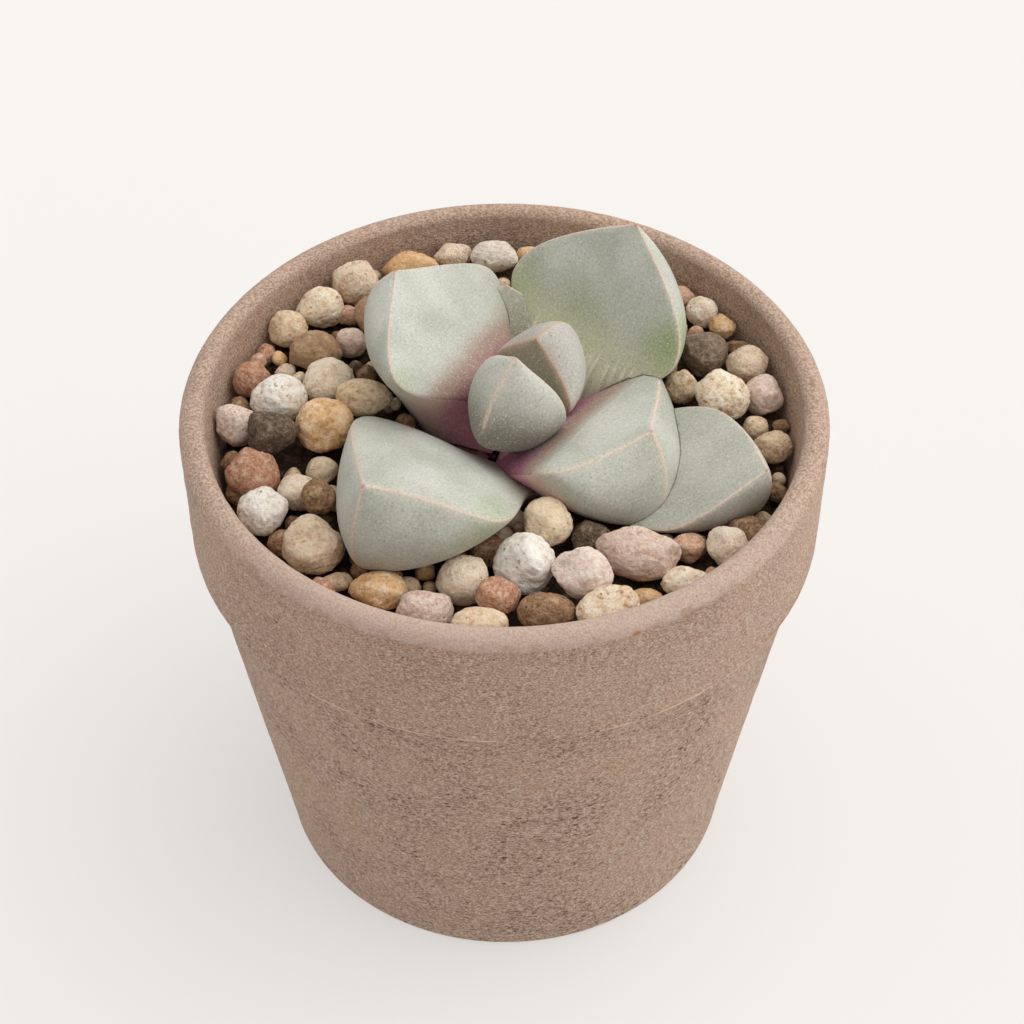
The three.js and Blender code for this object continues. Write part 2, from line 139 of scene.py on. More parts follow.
def mesh_object(name, vertices, faces, material, smooth=True):
    """A mesh object at the origin, from vertices in millimetres."""
    mesh = bpy.data.meshes.new(name)
    mesh.from_pydata((np.asarray(vertices) * MM).tolist(), [], faces)
    mesh.validate()
    if smooth:
        mesh.shade_smooth()
    else:
        mesh.shade_flat()
    mesh.materials.append(material)
    made = bpy.data.objects.new(name, mesh)
    bpy.context.scene.collection.objects.link(made)
    return made


def set_attribute(piece, name, values):
    """A number at each vertex, or one for all of them, for a material to read."""
    attribute = piece.data.attributes.new(name, "FLOAT", "POINT")
    count = len(piece.data.vertices)
    attribute.data.foreach_set("value", np.broadcast_to(values, count).astype(np.float32))


def seat(piece, slot, *nodes):
    """The piece rides with the pot and stands for those nodes. The slot is not used."""
    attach(piece, BODY)
    if nodes:
        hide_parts(*nodes)


def keep_evaluated(piece):
    """Keeps what a piece's modifiers make of it as its plain mesh."""
    bpy.context.view_layer.update()
    graph = bpy.context.evaluated_depsgraph_get()
    made = bpy.data.meshes.new_from_object(piece.evaluated_get(graph))
    piece.modifiers.clear()
    piece.data = made


def search_tree(points):
    """A tree that finds the nearest of some points."""
    tree = KDTree(len(points))
    for index, point in enumerate(points):
        tree.insert(point, index)
    tree.balance()
    return tree


def new_material(name):
    """An empty node material, with its tree, its shader and its object coordinates."""
    material = bpy.data.materials.new(name)
    material.use_nodes = True
    tree = material.node_tree
    shader = tree.nodes["Principled BSDF"]
    place = add_node(tree, "ShaderNodeTexCoord").outputs["Object"]
    return material, tree, shader, place


def paint(tree, colour, layers):
    """Lays colours over a first one. A layer is the pattern it follows, the two values of the
    pattern between which it comes in, how strong it gets, and its colour."""
    smooth = {"interpolation_type": "SMOOTHSTEP"}
    for pattern, first, full, strength, other in layers:
        inputs = zip(RANGE_INPUTS, (pattern, first, full, 0.0, strength))
        share = add_node(tree, RANGE, smooth, inputs)
        other = linear(other) if isinstance(other, str) else other
        inputs = {0: share, MIX_A: colour, MIX_B: other}
        colour = add_node(tree, "ShaderNodeMix", COLOUR_MIX, inputs).outputs[MIX_RESULT]
    return colour


def emboss(tree, layers):
    """Bumps, one on another. A layer is its pattern and its height in millimetres, which is
    negative where the pattern presses in."""
    normal = None
    for pattern, height in layers:
        inputs = {"Height": pattern, "Strength": 1.0, "Distance": abs(height) * MM}
        if normal is not None:
            inputs["Normal"] = normal
        normal = add_node(tree, "ShaderNodeBump", {"invert": height < 0}, inputs)
    return normal


def set_finish(shader, finish):
    """Sets values of a shader by their names."""
    for name, value in finish.items():
        shader.inputs[name].default_value = value


def finish_material(tree, shader, colour, normal, roughness, specular=0.35):
    """Links a surface's colour and bumps, and sets its gloss."""
    tree.links.new(colour, shader.inputs["Base Color"])
    tree.links.new(normal.outputs[0], shader.inputs["Normal"])
    set_finish(shader, {"Roughness": roughness, "Specular IOR Level": specular})


def smoothstep(low, high, value):
    """0 below low, 1 above high, and a smooth rise between them."""
    t = np.clip((value - low) / (high - low), 0, 1)
    return t * t * (3 - 2 * t)


# ---- Clay pot -----------------------------------------------------------------------------

POT_WALL_SLOPE = 0.16  # how far the inner wall draws in per millimetre of depth
FOOT_ROUND, STEP_ROUND, OUTER_ROUND, INNER_ROUND, INSIDE_ROUND = 0.9, 0.45, 1.65, 1.1, 3.0
STEP_DROP, STEP_FLARE, STEP_LIFT = 0.75, 0.35, 0.1  # of the step under the collar
TURN_POINTS = 400  # vertices once round the pot
RING_GAP = 0.55  # greatest distance between its rings of vertices
FLAT_FOOT = 3  # up to this height the wall strays less, and at the ground not at all
EVEN_RIM = 1  # this far down from the rim the wall never strays outwards
SLOW_WAVES, RING_MARKS = (1.3, 30), (0.4, 2.2)  # the two kinds of waves in the wall
RING_MARK_SHARE = 0.35  # how high the ring marks are against the slow waves
CLAY_GRAIN = (1.6, 1.6, 0.9)  # size of the clay's grain along x, y and z


class PotSettings(bpy.types.PropertyGroup):
    """Sizes and colours of the clay pot."""

    rim_radius: size_property("Rim radius", 35, "Outer radius of the rim")
    height: size_property("Height", 61.7, "Height of the rim above the ground")
    collar: size_property("Collar height", 15.3, "Height of the thick band at the top")
    collar_foot: size_property("Collar foot radius", 34.7, "Radius of the collar's lower edge")
    body_top: size_property("Body top radius", 33.5, "Radius of the body under the collar")
    foot: size_property("Foot radius", 26.1, "Radius of the body at the ground")
    mouth: size_property("Mouth radius", 32.2, "Inner radius just below the rim")
    floor: size_property("Floor thickness", 4, "Thickness of the pot's floor")
    drain: size_property("Drain radius", 5, "Radius of the drainage hole")
    wobble: size_property("Wobble", 0.1, "How far the hand-turned wall strays from round")
    grain: size_property("Grain depth", 0.045, "Depth of the open grain in the clay's skin")
    clay: colour_property("Clay", "#B1947F", "Fired clay, taupe brown")
    clay_dark: colour_property("Dark clay", "#A48672", "Clay in the darker blotches")
    clay_warm: colour_property("Warm clay", "#B68F71", "Warmer clay in wipe marks")


def arc(radius, height, size, start, end, steps):
    """Points of an arc about [radius, height], between two angles in degrees."""
    angles = np.radians(np.linspace(start, end, steps))
    return [[radius + size * math.cos(a), height + size * math.sin(a)] for a in angles]


def pot_profile(pot):
    """The pot's closed section as radius and height in millimetres, clockwise from the foot."""
    rim, height, mouth = pot.rim_radius / MM, pot.height / MM, pot.mouth / MM
    foot, floor, drain = pot.foot / MM, pot.floor / MM, pot.drain / MM
    body_top, collar_foot, step = pot.body_top / MM, pot.collar_foot / MM, height - pot.collar / MM
    inner = mouth - (height - floor - INSIDE_ROUND) * POT_WALL_SLOPE
    return [
        [drain, 0],
        *arc(foot - FOOT_ROUND, FOOT_ROUND, FOOT_ROUND, -90, -8, 6),
        [body_top, step - STEP_DROP],
        [body_top + STEP_FLARE, step - STEP_ROUND],
        *arc(collar_foot - STEP_ROUND, step + STEP_LIFT, STEP_ROUND, -50, 0, 5),
        *arc(rim - OUTER_ROUND, height - OUTER_ROUND, OUTER_ROUND, 2, 90, 12),
        *arc(mouth + INNER_ROUND, height - INNER_ROUND, INNER_ROUND, 90, 178, 8),
        *arc(inner - INSIDE_ROUND, floor + INSIDE_ROUND, INSIDE_ROUND, 0, -90, 6),
        [drain, floor],
    ]


def spaced(profile, step):
    """The closed profile with points added so that none lie further apart than step."""
    made = []
    for start, end in zip(profile, profile[1:] + profile[:1]):
        start, end = np.array(start), np.array(end)
        count = max(1, math.ceil(np.linalg.norm(end - start) / step))
        made += [start + (end - start) * i / count for i in range(count)]
    return np.array(made)


def clay_material(pot):
    """Unglazed clay, turned and sponged: matt taupe with a dense short grain and open pits.

    The collar is smoother than the body, and a pale line with rusty stains marks its lower edge,
    so the eye reads a wheel and a sponge. A painted highlight lies on the rim's crest, brightest in
    front.
    """
    material, tree, shader, place = new_material("unglazed_turned_clay")
    # Stretched round the wall, because the turning drags grains and wipe marks sideways.
    dragged, wiped = (
        add_node(tree, "ShaderNodeMapping", inputs={"Vector": place, "Scale": (pull, pull, 1.0)})
        for pull in (0.62, 0.1)
    )
    blotches, streaks, grain, fine, worn = (
        add_node(tree, NOISE, inputs=zip(NOISE_INPUTS, row))
        for row in (
            (place, per_mm(9), 3),
            (wiped, per_mm(2.2), 3),
            (dragged, per_mm(0.36), 3, 0.75),
            (dragged, per_mm(0.16), 1),
            (place, per_mm(1.6), 4),
        )
    )
    pits, chips = (
        add_node(tree, CELLS, inputs={"Vector": dragged, "Scale": per_mm(size)})
        for size in (1.2, 6.5)
    )
    parts = add_node(tree, "ShaderNodeSeparateXYZ", inputs={0: place})
    height, rim, edge = parts.outputs["Z"], pot.height, pot.height - pot.collar
    from_edge = add_node(tree, MATHS, SUBTRACT, {0: height, 1: edge})
    apart = add_node(tree, MATHS, {"operation": "ABSOLUTE"}, {0: from_edge})

    # The skin is open on the body, closer on the collar and by the rim, and varies in slow
    # blotches. The line at the collar's edge wavers in width, and near is the band beside that
    # edge. top and the front mask bring in a painted highlight on the rim's crest, brightest in
    # front.
    open_body, uneven, rubbed, wavering, near, top, highlight_in_front = (
        add_node(tree, RANGE, inputs=zip(RANGE_INPUTS, row))
        for row in (
            (height, edge, edge + 1 * MM, 1.0, 0.6),
            (blotches, 0.35, 0.65, 0.6, 1.3),
            (height, rim - 2.5 * MM, rim - 0.8 * MM, 1.0, 0.6),
            (blotches, 0.42, 0.6, 0.0, -0.16 * MM),
            (apart, 1.2 * MM, 0.1 * MM),
            (height, rim - 1.7 * MM, rim - 1.2 * MM),
            (parts.outputs["Y"], -12 * MM, -33 * MM, 0.3, 1.0),
        )
    )
    opened = add_node(tree, MATHS, MULTIPLY, {0: open_body, 1: rubbed})
    openness = add_node(tree, MATHS, MULTIPLY, {0: opened, 1: uneven})
    centred = add_node(tree, MATHS, SUBTRACT, {0: grain, 1: 0.5})
    skin = add_node(tree, MATHS, MULTIPLY_ADD, {0: centred, 1: openness, 2: 0.5})
    pick = add_node(tree, CHANNELS, inputs={0: pits.outputs["Color"]})
    hole = add_node(tree, MATHS, MULTIPLY, {0: pick, 1: openness})
    deep = add_node(tree, MATHS, MULTIPLY_ADD, {0: hole, 1: 0.2, 2: -0.03})
    pit = add_node(tree, MATHS, {"operation": "LESS_THAN"}, {0: pits, 1: deep})
    line = add_node(tree, MATHS, SUBTRACT, {0: apart, 1: wavering})
    stain = add_node(tree, MATHS, MULTIPLY, {0: near, 1: streaks})
    # Painted highlight on the rim's crest, brightest at the front.
    crest = add_node(tree, MATHS, MULTIPLY, {0: top, 1: highlight_in_front})
    shoulder = add_node(
        tree, MATHS, {"operation": "COMPARE"}, {0: height, 1: rim - 1.5 * MM, 2: 0.8 * MM}
    )
    smudge = add_node(tree, MATHS, MULTIPLY, {0: shoulder, 1: worn})
    colour = paint(
        tree,
        pot.clay,
        [
            (blotches, 0.4, 0.7, 0.5, pot.clay_dark),
            (blotches, 0.45, 0.28, 0.4, pot.clay_warm),
            (streaks, 0.56, 0.75, 0.35, pot.clay_warm),
            (skin, 0.5, 0.64, 0.62, "#D2C0B1"),
            (skin, 0.49, 0.34, 0.75, "#6E4F3D"),
            (fine, 0.5, 0.66, 0.4, "#DACABC"),
            (fine, 0.5, 0.34, 0.5, "#664A39"),
            (skin, 0.36, 0.3, 0.8, "#4A3327"),
            # Painted highlight on the rim's crest.
            (crest, 0.0, 1.0, 0.6, "#C3ADA0"),
            (smudge, 0.48, 0.72, 0.34, "#8F6850"),
            (stain, 0.42, 0.58, 0.65, "#A66B3E"),
            (line, 0.24 * MM, 0.08 * MM, 0.8, "#DDC2A6"),
            (chips, 0.06, 0.035, 0.7, "#A4633C"),
            (pit, 0.0, 1.0, 0.85, "#4A3327"),
        ],
    )
    normal = emboss(tree, [(skin, 0.22), (fine, 0.08), (pit, -0.12)])
    finish_material(tree, shader, colour, normal, roughness=0.88)
    return material


def wall_noise(out, z, waves):
    """Noise on the pot's wall. Its waves are how quickly it varies round the pot, and its size
    up the wall in millimetres."""
    round_it, up_it = waves
    return noise.noise(Vector((out.x * round_it, out.y * round_it, z / up_it)))


class LAPIDARIA_OT_pot(bpy.types.Operator):
    """Build the turned clay pot"""

    bl_idname = "lapidaria.pot"
    bl_label = "Pot"

    def execute(self, context):
        pot = context.scene.lapidaria_pot
        profile = spaced(pot_profile(pot), RING_GAP)
        rings = len(profile)
        angles = np.linspace(0, 2 * math.pi, TURN_POINTS, endpoint=False)
        radius, height = profile[:, :1], profile[:, 1:]
        vertices = np.stack(
            [radius * np.cos(angles), radius * np.sin(angles), height + 0 * angles], -1
        ).reshape(-1, 3)
        ring, here = np.indices((rings, TURN_POINTS))
        start, above = ring * TURN_POINTS, (ring + 1) % rings * TURN_POINTS
        after = (here + 1) % TURN_POINTS
        faces = np.stack([start + here, start + after, above + after, above + here], -1)
        faces = faces.reshape(-1, 4).tolist()
        piece = mesh_object("clay_pot", vertices, faces, clay_material(pot))
        crest = pot.height / MM - EVEN_RIM
        wobble, grain = pot.wobble / MM, pot.grain / MM
        for vertex in piece.data.vertices:
            x, y, z = vertex.co / MM
            free = min(1.0, max(0.0, z / FLAT_FOOT))
            out = Vector((x, y, 0)).normalized()
            slow, ring_mark = wall_noise(out, z, SLOW_WAVES), wall_noise(out, z, RING_MARKS)
            skin = Vector([c / size for c, size in zip((x, y, z), CLAY_GRAIN)])
            shift = wobble * (slow + RING_MARK_SHARE * ring_mark)
            shift += grain * noise.fractal(skin, 1.0, 2.0, 2)
            shift = min(shift, 0.0) if z > crest else shift
            vertex.co += out * (shift - wobble) * free * MM
        seat(piece, "clay", "pot")
        return {"FINISHED"}


# ---- Leaves -------------------------------------------------------------------------------

# One leaf: a neck that widens to a three-sided head, flat above and keeled below.
# Angles are in degrees: azimuth from +X towards +Y, pitch upwards from level. neck_end,
# widest_at and deepest_at are shares of the length. lift raises the left and right shoulder,
# lopsided widens the left half, stagger moves the left shoulder towards the tip, and sway
# bends the leaf sideways. Inner leaves come first: each later one makes room for them.
LEAVES = {
    "bud_leaf_front": dict(
        base=(1.5, -0.4, 54.3), azimuth=218, pitch=104.3, roll=17.7, length=15.6,
        neck_half=1.5, head_half=5.2, neck_end=0.09, widest_at=0.54, width_taper=2.6,
        neck_depth=3.0, head_depth=8.8, deepest_at=0.35, depth_taper=1.15,
        chin=0.07, curl=-0.4, face_bulge=0.01, side_bulge=0.2, lift=(0.7, 1.3),
    ),
    "bud_leaf_back": dict(
        base=(2.95, 3.5, 54.2), azimuth=55.6, pitch=83.5, roll=-9.1, length=12.8,
        neck_half=2.95, head_half=6.0, neck_end=0.22, widest_at=0.52, width_taper=1.1,
        neck_depth=4.95, head_depth=6.9, deepest_at=0.41, depth_taper=1.85,
        chin=0.29, curl=0.05, face_bulge=0.02, side_bulge=0.13, lift=(0.5, 0.8),
    ),
    "inner_leaf_left": dict(
        base=(2.6, 4.85, 56.8), azimuth=152.8, pitch=26.1, roll=15.7, length=20.3,
        neck_half=4.7, head_half=14.45, neck_end=0.09, widest_at=0.6, width_taper=1.3,
        neck_depth=13.2, head_depth=9.8, deepest_at=0.49, depth_taper=1.85,
        chin=0.28, curl=0.18, face_bulge=0.02, side_bulge=0.06, lift=(0.3, 1.0),
    ),
    "inner_leaf_right": dict(
        base=(1.25, 0.6, 53.4), azimuth=-27.2, pitch=38.7, roll=-11.2, length=19.3,
        neck_half=7.3, head_half=12.0, neck_end=0.05, widest_at=0.63, width_taper=0.8,
        neck_depth=2.55, head_depth=9.9, deepest_at=0.58, depth_taper=1.2,
        chin=0.17, curl=-0.09, face_bulge=0.02, side_bulge=0.15, lift=(1.8, 1.1),
        neck_side_bulge=0.05, lopsided=0.35, stagger=-0.05, sway=-0.55,
    ),
    "outer_leaf_back": dict(
        base=(4.25, 7.4, 50.9), azimuth=48.4, pitch=53.6, roll=-5.3, length=25.1,
        neck_half=3.25, head_half=12.55, neck_end=0.09, widest_at=0.55, width_taper=1.65,
        neck_depth=4.6, head_depth=9.75, deepest_at=0.55, depth_taper=0.7,
        chin=0.13, curl=-0.02, face_bulge=0.02, side_bulge=0.11, lift=(0.1, -0.7),
        lopsided=0.035,
    ),
    "outer_leaf_front": dict(
        base=(3.9, -2.4, 51.5), azimuth=217.8, pitch=46.8, roll=12.1, length=28.0,
        neck_half=6.2, head_half=12.7, neck_end=0.18, widest_at=0.54, width_taper=1.2,
        neck_depth=5.35, head_depth=11.6, deepest_at=0.61, depth_taper=1.45,
        chin=0.09, curl=-0.25, face_bulge=0.08, side_bulge=0.13, lift=(-1.5, 0.4),
        neck_face_bulge=0.03, neck_side_bulge=0.05, lopsided=-0.1, stagger=0.07, sway=-0.22,
    ),
    "oldest_leaf_right": dict(
        base=(3.0, 0.8, 51.9), azimuth=-25.7, pitch=26.2, roll=7.4, length=28.5,
        neck_half=4.8, head_half=8.4, neck_end=0.09, widest_at=0.64, width_taper=1.8,
        neck_depth=5.0, head_depth=8.4, deepest_at=0.56, depth_taper=0.8,
        chin=0.17, curl=-0.11, face_bulge=0.01, side_bulge=0.07, lift=(0.5, -1.7),
    ),
    "oldest_leaf_back": dict(
        base=(1.2, 5.5, 51.8), azimuth=95, pitch=33, roll=-4, length=17.6,
        neck_half=4.0, head_half=7.2, neck_end=0.09, widest_at=0.62, width_taper=1.5,
        neck_depth=4.2, head_depth=6.2, deepest_at=0.55, depth_taper=1.0,
        chin=0.16, curl=-0.05, face_bulge=0.02, side_bulge=0.08, lift=(0.0, 0.0),
    ),
}
NECK_FACE_BULGE = 0.16  # the neck is nearly round, so its sides bulge more
NECK_SIDE_BULGE = 0.2
SHORTEST_FLARE = 0.12  # least share of the length in which a neck turns into a head
CHIN_SCALE = 6.75  # makes (1 - s) * s * s peak at 1
RING_CROWDING = 1.35  # above 1, the rings lie closer together towards the tip
EVEN_SHARE, CROWDED_SHARE = 0.3, 0.7  # a side's points, evenly spread and near its ridges
MOST_ROUND = 0.3  # the rounding of a ridge takes up at most this share of a side

# Colour marks of each leaf, as strengths from 0 to 1, at shares of its length and half width.
# flush is the purple near the bud, with the shares between which it fades along the leaf.
# moss lists green patches as (along, across, size, strength), and dusk greys the whole leaf.
# olive dulls a leaf's upper face, partly its own tone and partly painted shade, most on the
# face that the bud's back leaf turns to its twin. streaks are the pale lines of a leaf's base,
# and ember tans its ridges. shade is painted shade that darkens a leaf towards its base, as
# strength and the shares of the length between which it grows.
PLAIN = dict(
    flush=(0.8, 0.04, 0.24), moss=[], dusk=0.0, streaks=0, ember=0, olive=0,
    shade=(0.0, 0.85, 0.35),
)
MARKS = {
    "bud_leaf_front": dict(PLAIN, dusk=0.3, shade=(1.0, 0.8, 0.38)),
    "bud_leaf_back": dict(PLAIN, dusk=0.6, ember=1, olive=1),
    "inner_leaf_left": dict(
        PLAIN, flush=(1.15, 0.18, 0.6), moss=[(0.6, 1.0, 0.13, 0.5), (0.4, -0.8, 0.2, 0.3)]
    ),
    "inner_leaf_right": dict(
        PLAIN, flush=(1.35, 0.25, 0.72), moss=[(0.6, -0.75, 0.12, 0.4)], dusk=0.05
    ),
    "outer_leaf_back": dict(
        PLAIN,
        flush=(0.4, 0.1, 0.25),
        moss=[(0.57, -0.9, 0.2, 0.95), (0.45, 0.9, 0.2, 0.85), (0.42, 0.1, 0.32, 0.65)],
        dusk=0.2,
        streaks=1,
    ),
    "outer_leaf_front": dict(
        PLAIN, flush=(0.5, 0.1, 0.5), moss=[(0.62, 0.8, 0.13, 0.5), (0.1, 0.2, 0.3, 0.5)],
        shade=(0.55, 0.5, 0.15),
    ),
    "oldest_leaf_right": dict(PLAIN, dusk=0.2, olive=0.2),
    "oldest_leaf_back": dict(
        PLAIN, moss=[(0.55, 0.0, 0.4, 0.35)], dusk=0.3, olive=0.35, shade=(1.0, 1.3, 0.5)
    ),
}
BUD = ("bud_leaf_front", "bud_leaf_back")
# What each point of a leaf carries for the material.
LEAF_NUMBERS = (
    "along", "across", "ridge", "shown", "flush", "under", "moss", "dusk", "olive", "shade",
    "streaks", "ember",
)


class LeafSettings(bpy.types.PropertyGroup):
    """Finish and fineness of the leaves."""

    ridge_round: size_property("Ridge rounding", 0.9, "Where a side starts to round over")
    ridge_bead: size_property("Ridge bead", 0.05, "How far the pale ridge line stands proud")
    swell: size_property("Uneven skin", 0.07, "Depth of the slow swells in a leaf's sides")
    clearance: size_property("Clearance", 0.05, "Gap between leaves where they clasp")
    flush_reach: size_property("Flush reach", 8.5, "How far from the bud the purple reaches")
    rings: IntProperty(
        name="Rings", description="Sections along one leaf", default=130, min=8
    )
    side_points: IntProperty(
        name="Side points", description="Points on each of a section's sides", default=34, min=4
    )
    skin: colour_property("Skin", "#C0C1B6", "Grey-green waxy skin")
    skin_dark: colour_property("Dark skin", "#AAAC9E", "Skin between the mealy dots")
    ridge: colour_property("Ridge", "#D5BEAD", "Peach pink line on the ridges")
    tip: colour_property("Tip", "#B4694F", "Reddish point of a leaf")
    flush: colour_property("Flush", "#9E4C71", "Purple flush near the bud")
    moss: colour_property("Moss", "#8F9C68", "Greener patches at the shoulders")
    dusk: colour_property("Dusk", "#AFA69F", "Lavender grey of the bud")


def hermite(t, start, end, slope_start, slope_end):
    """A cubic between two values, with the given slopes."""
    return (
        (2 * t**3 - 3 * t**2 + 1) * start
        + (t**3 - 2 * t**2 + t) * slope_start
        + (3 * t**2 - 2 * t**3) * end
        + (t**3 - t**2) * slope_end
    )


def swell(s, neck, head, neck_end, peak_at, taper):
    """A size along the leaf: from the neck's value to its greatest, then down to nothing."""
    flare = np.clip((s - neck_end) / (peak_at - neck_end), 0, 1)
    rise = hermite(flare, neck, head, 0, 0)
    fall = hermite((s - peak_at) / (1 - peak_at), head, 0, 0, -taper * head)
    return np.where(s < peak_at, rise, fall)


def bulging(a, b, middle, bulge, t):
    """Points at shares t of the way from a to b, bulging away from the middle."""
    along = b - a
    length = np.maximum(np.linalg.norm(along, axis=-1, keepdims=True), 1e-9)
    out = (a + b) / 2 - middle
    out -= along * (out * along).sum(-1, keepdims=True) / length**2
    out /= np.maximum(np.linalg.norm(out, axis=-1, keepdims=True), 1e-9)
    height = (bulge[:, None] * length)[:, None] * (4 * t * (1 - t))[..., None]
    return a[:, None] + along[:, None] * t[..., None] + out[:, None] * height


def leaf_sections(leaf, rings, side_points, ridge_round):
    """Ring points of a leaf in its own frame, with each point's distance from a ridge."""
    s = 1 - (1 - np.arange(rings) / rings) ** RING_CROWDING
    neck_end, widest_at = leaf["neck_end"], leaf["widest_at"]
    lopsided, stagger = leaf.get("lopsided", 0), leaf.get("stagger", 0)

    def half_width(side):
        peak = max(widest_at + side * stagger, neck_end + SHORTEST_FLARE)
        taper = leaf["width_taper"]
        half = swell(s, leaf["neck_half"], leaf["head_half"], neck_end, peak, taper)
        return half * (1 + side * lopsided)

    deepest_at, depth_taper = leaf["deepest_at"], leaf["depth_taper"]
    depth = swell(
        s, leaf["neck_depth"], leaf["head_depth"], neck_end, deepest_at, depth_taper
    )
    head = smoothstep(neck_end, widest_at, s)
    left_half = half_width(1)
    narrowing = (left_half / leaf["head_half"] / (1 + lopsided)) ** 2
    rise = np.where(s < widest_at, head, narrowing)
    x = leaf["length"] * s
    keel_x = x + leaf["chin"] * leaf["length"] * CHIN_SCALE * (1 - s) * s * s
    left = np.stack([x, left_half, leaf["lift"][0] * rise], -1)
    right = np.stack([x, -half_width(-1), leaf["lift"][1] * rise], -1)
    keel = np.stack([keel_x, 0 * s, -depth], -1)
    middle = (left + right + keel) / 3
    neck_face = leaf.get("neck_face_bulge", NECK_FACE_BULGE)
    neck_side = leaf.get("neck_side_bulge", NECK_SIDE_BULGE)
    face = neck_face + (leaf["face_bulge"] - neck_face) * head
    side = neck_side + (leaf["side_bulge"] - neck_side) * head
    corners = [right, left, keel]
    bulges = [face, side, side]

    def on_side(k, t):
        """Points at shares t of the way along side k."""
        return bulging(corners[k], corners[(k + 1) % 3], middle, bulges[k], t)

    # Points crowd towards the ridges, where the section turns sharply.
    even = np.arange(side_points) / side_points
    t = EVEN_SHARE * even + CROWDED_SHARE * (1 - np.cos(math.pi * even)) / 2
    lengths = [
        np.linalg.norm(corners[(k + 1) % 3] - corners[k], axis=-1)[:, None] for k in range(3)
    ]
    shares = [np.clip(ridge_round / np.maximum(n, 1e-6), 0, MOST_ROUND) for n in lengths]
    parts, ridge = [], []
    for k in range(3):
        share, before, after = shares[k], k - 1, (k + 1) % 3
        u = (0.5 + 0.5 * t / share)[..., None]
        v = (0.5 - 0.5 * (1 - t) / share)[..., None]
        start, end = on_side(k, share), on_side(k, 1 - share)
        from_start, to_end = on_side(before, 1 - shares[before]), on_side(after, shares[after])
        points = on_side(k, np.broadcast_to(t, (rings, side_points)))
        round_start = rounded(from_start, corners[k][:, None], start, u)
        round_end = rounded(end, corners[after][:, None], to_end, v)
        points = np.where((t < share)[..., None], round_start, points)
        points = np.where((t > 1 - share)[..., None], round_end, points)
        parts.append(points)
        ridge.append(np.minimum(t, 1 - t) * lengths[k])
    return s, np.concatenate(parts, 1), np.concatenate(ridge, 1)


def rounded(a, corner, b, t):
    """A corner cut off by a curve from a to b."""
    return (1 - t) ** 2 * a + 2 * t * (1 - t) * corner + t**2 * b


def turn(points, axis, degrees):
    """Points turned about one of the axes."""
    a = math.radians(degrees)
    i, j = [(1, 2), (2, 0), (0, 1)][axis]
    turned = points.copy()
    turned[:, i] = points[:, i] * math.cos(a) - points[:, j] * math.sin(a)
    turned[:, j] = points[:, i] * math.sin(a) + points[:, j] * math.cos(a)
    return turned


def place_leaf(leaf, points):
    """Points of a leaf's own frame, in the pot's frame."""
    points = points.copy()
    x, length = points[:, 0], leaf["length"]
    points[:, 2] += leaf["curl"] * x**2 / length
    points[:, 1] += leaf.get("sway", 0) * x * (length - x) / length
    points = turn(points, 0, leaf["roll"])
    points = turn(points, 1, -leaf["pitch"])
    points = turn(points, 2, leaf["azimuth"])
    return points + np.array(leaf["base"])


def leaf_vertices(leaf, rings, side_points, ridge_round):
    """A leaf's vertices, faces and the numbers that its skin reads."""
    s, sections, ridge = leaf_sections(leaf, rings, side_points, ridge_round)
    around = 3 * side_points
    across = sections[..., 1] / leaf["head_half"]
    heel = np.array([[0, 0, -leaf["neck_depth"] / 2]])
    tip = np.array([[leaf["length"], 0, 0]])
    local = np.concatenate([heel, sections.reshape(-1, 3), tip])
    along = np.concatenate([[0], np.repeat(s, around), [1]])
    ridges = np.concatenate([[2], ridge.ravel(), [0]])
    acrosses = np.concatenate([[0], across.ravel(), [0]])
    face_row = np.concatenate([np.ones(side_points), np.zeros(2 * side_points)])
    upper = np.concatenate([[0], np.tile(face_row, rings), [1]])

    last = len(local) - 1
    ring = np.arange(rings)[:, None] * around + 1
    here = ring + np.arange(around)[None, :]
    after = ring + (np.arange(around)[None, :] + 1) % around
    quads = np.stack([here[:-1], here[1:], after[1:], after[:-1]], -1).reshape(-1, 4)
    faces = [tuple(f) for f in quads.tolist()]
    faces += [(0, int(a), int(b)) for a, b in zip(here[0], after[0])]
    faces += [(last, int(b), int(a)) for a, b in zip(here[-1], after[-1])]
    numbers = {"along": along, "across": acrosses, "ridge": ridges, "upper": upper}
    return place_leaf(leaf, local), faces, numbers


# What makes the skin waxy and alive: light that sinks in a little, and a dusty bloom.
WAXY = {
    "Subsurface Weight": 0.1,
    "Subsurface Radius": (1.0, 1.0, 0.6),
    "Subsurface Scale": 0.9 * MM,
    "Sheen Weight": 0.1,
    "Sheen Roughness": 0.5,
}


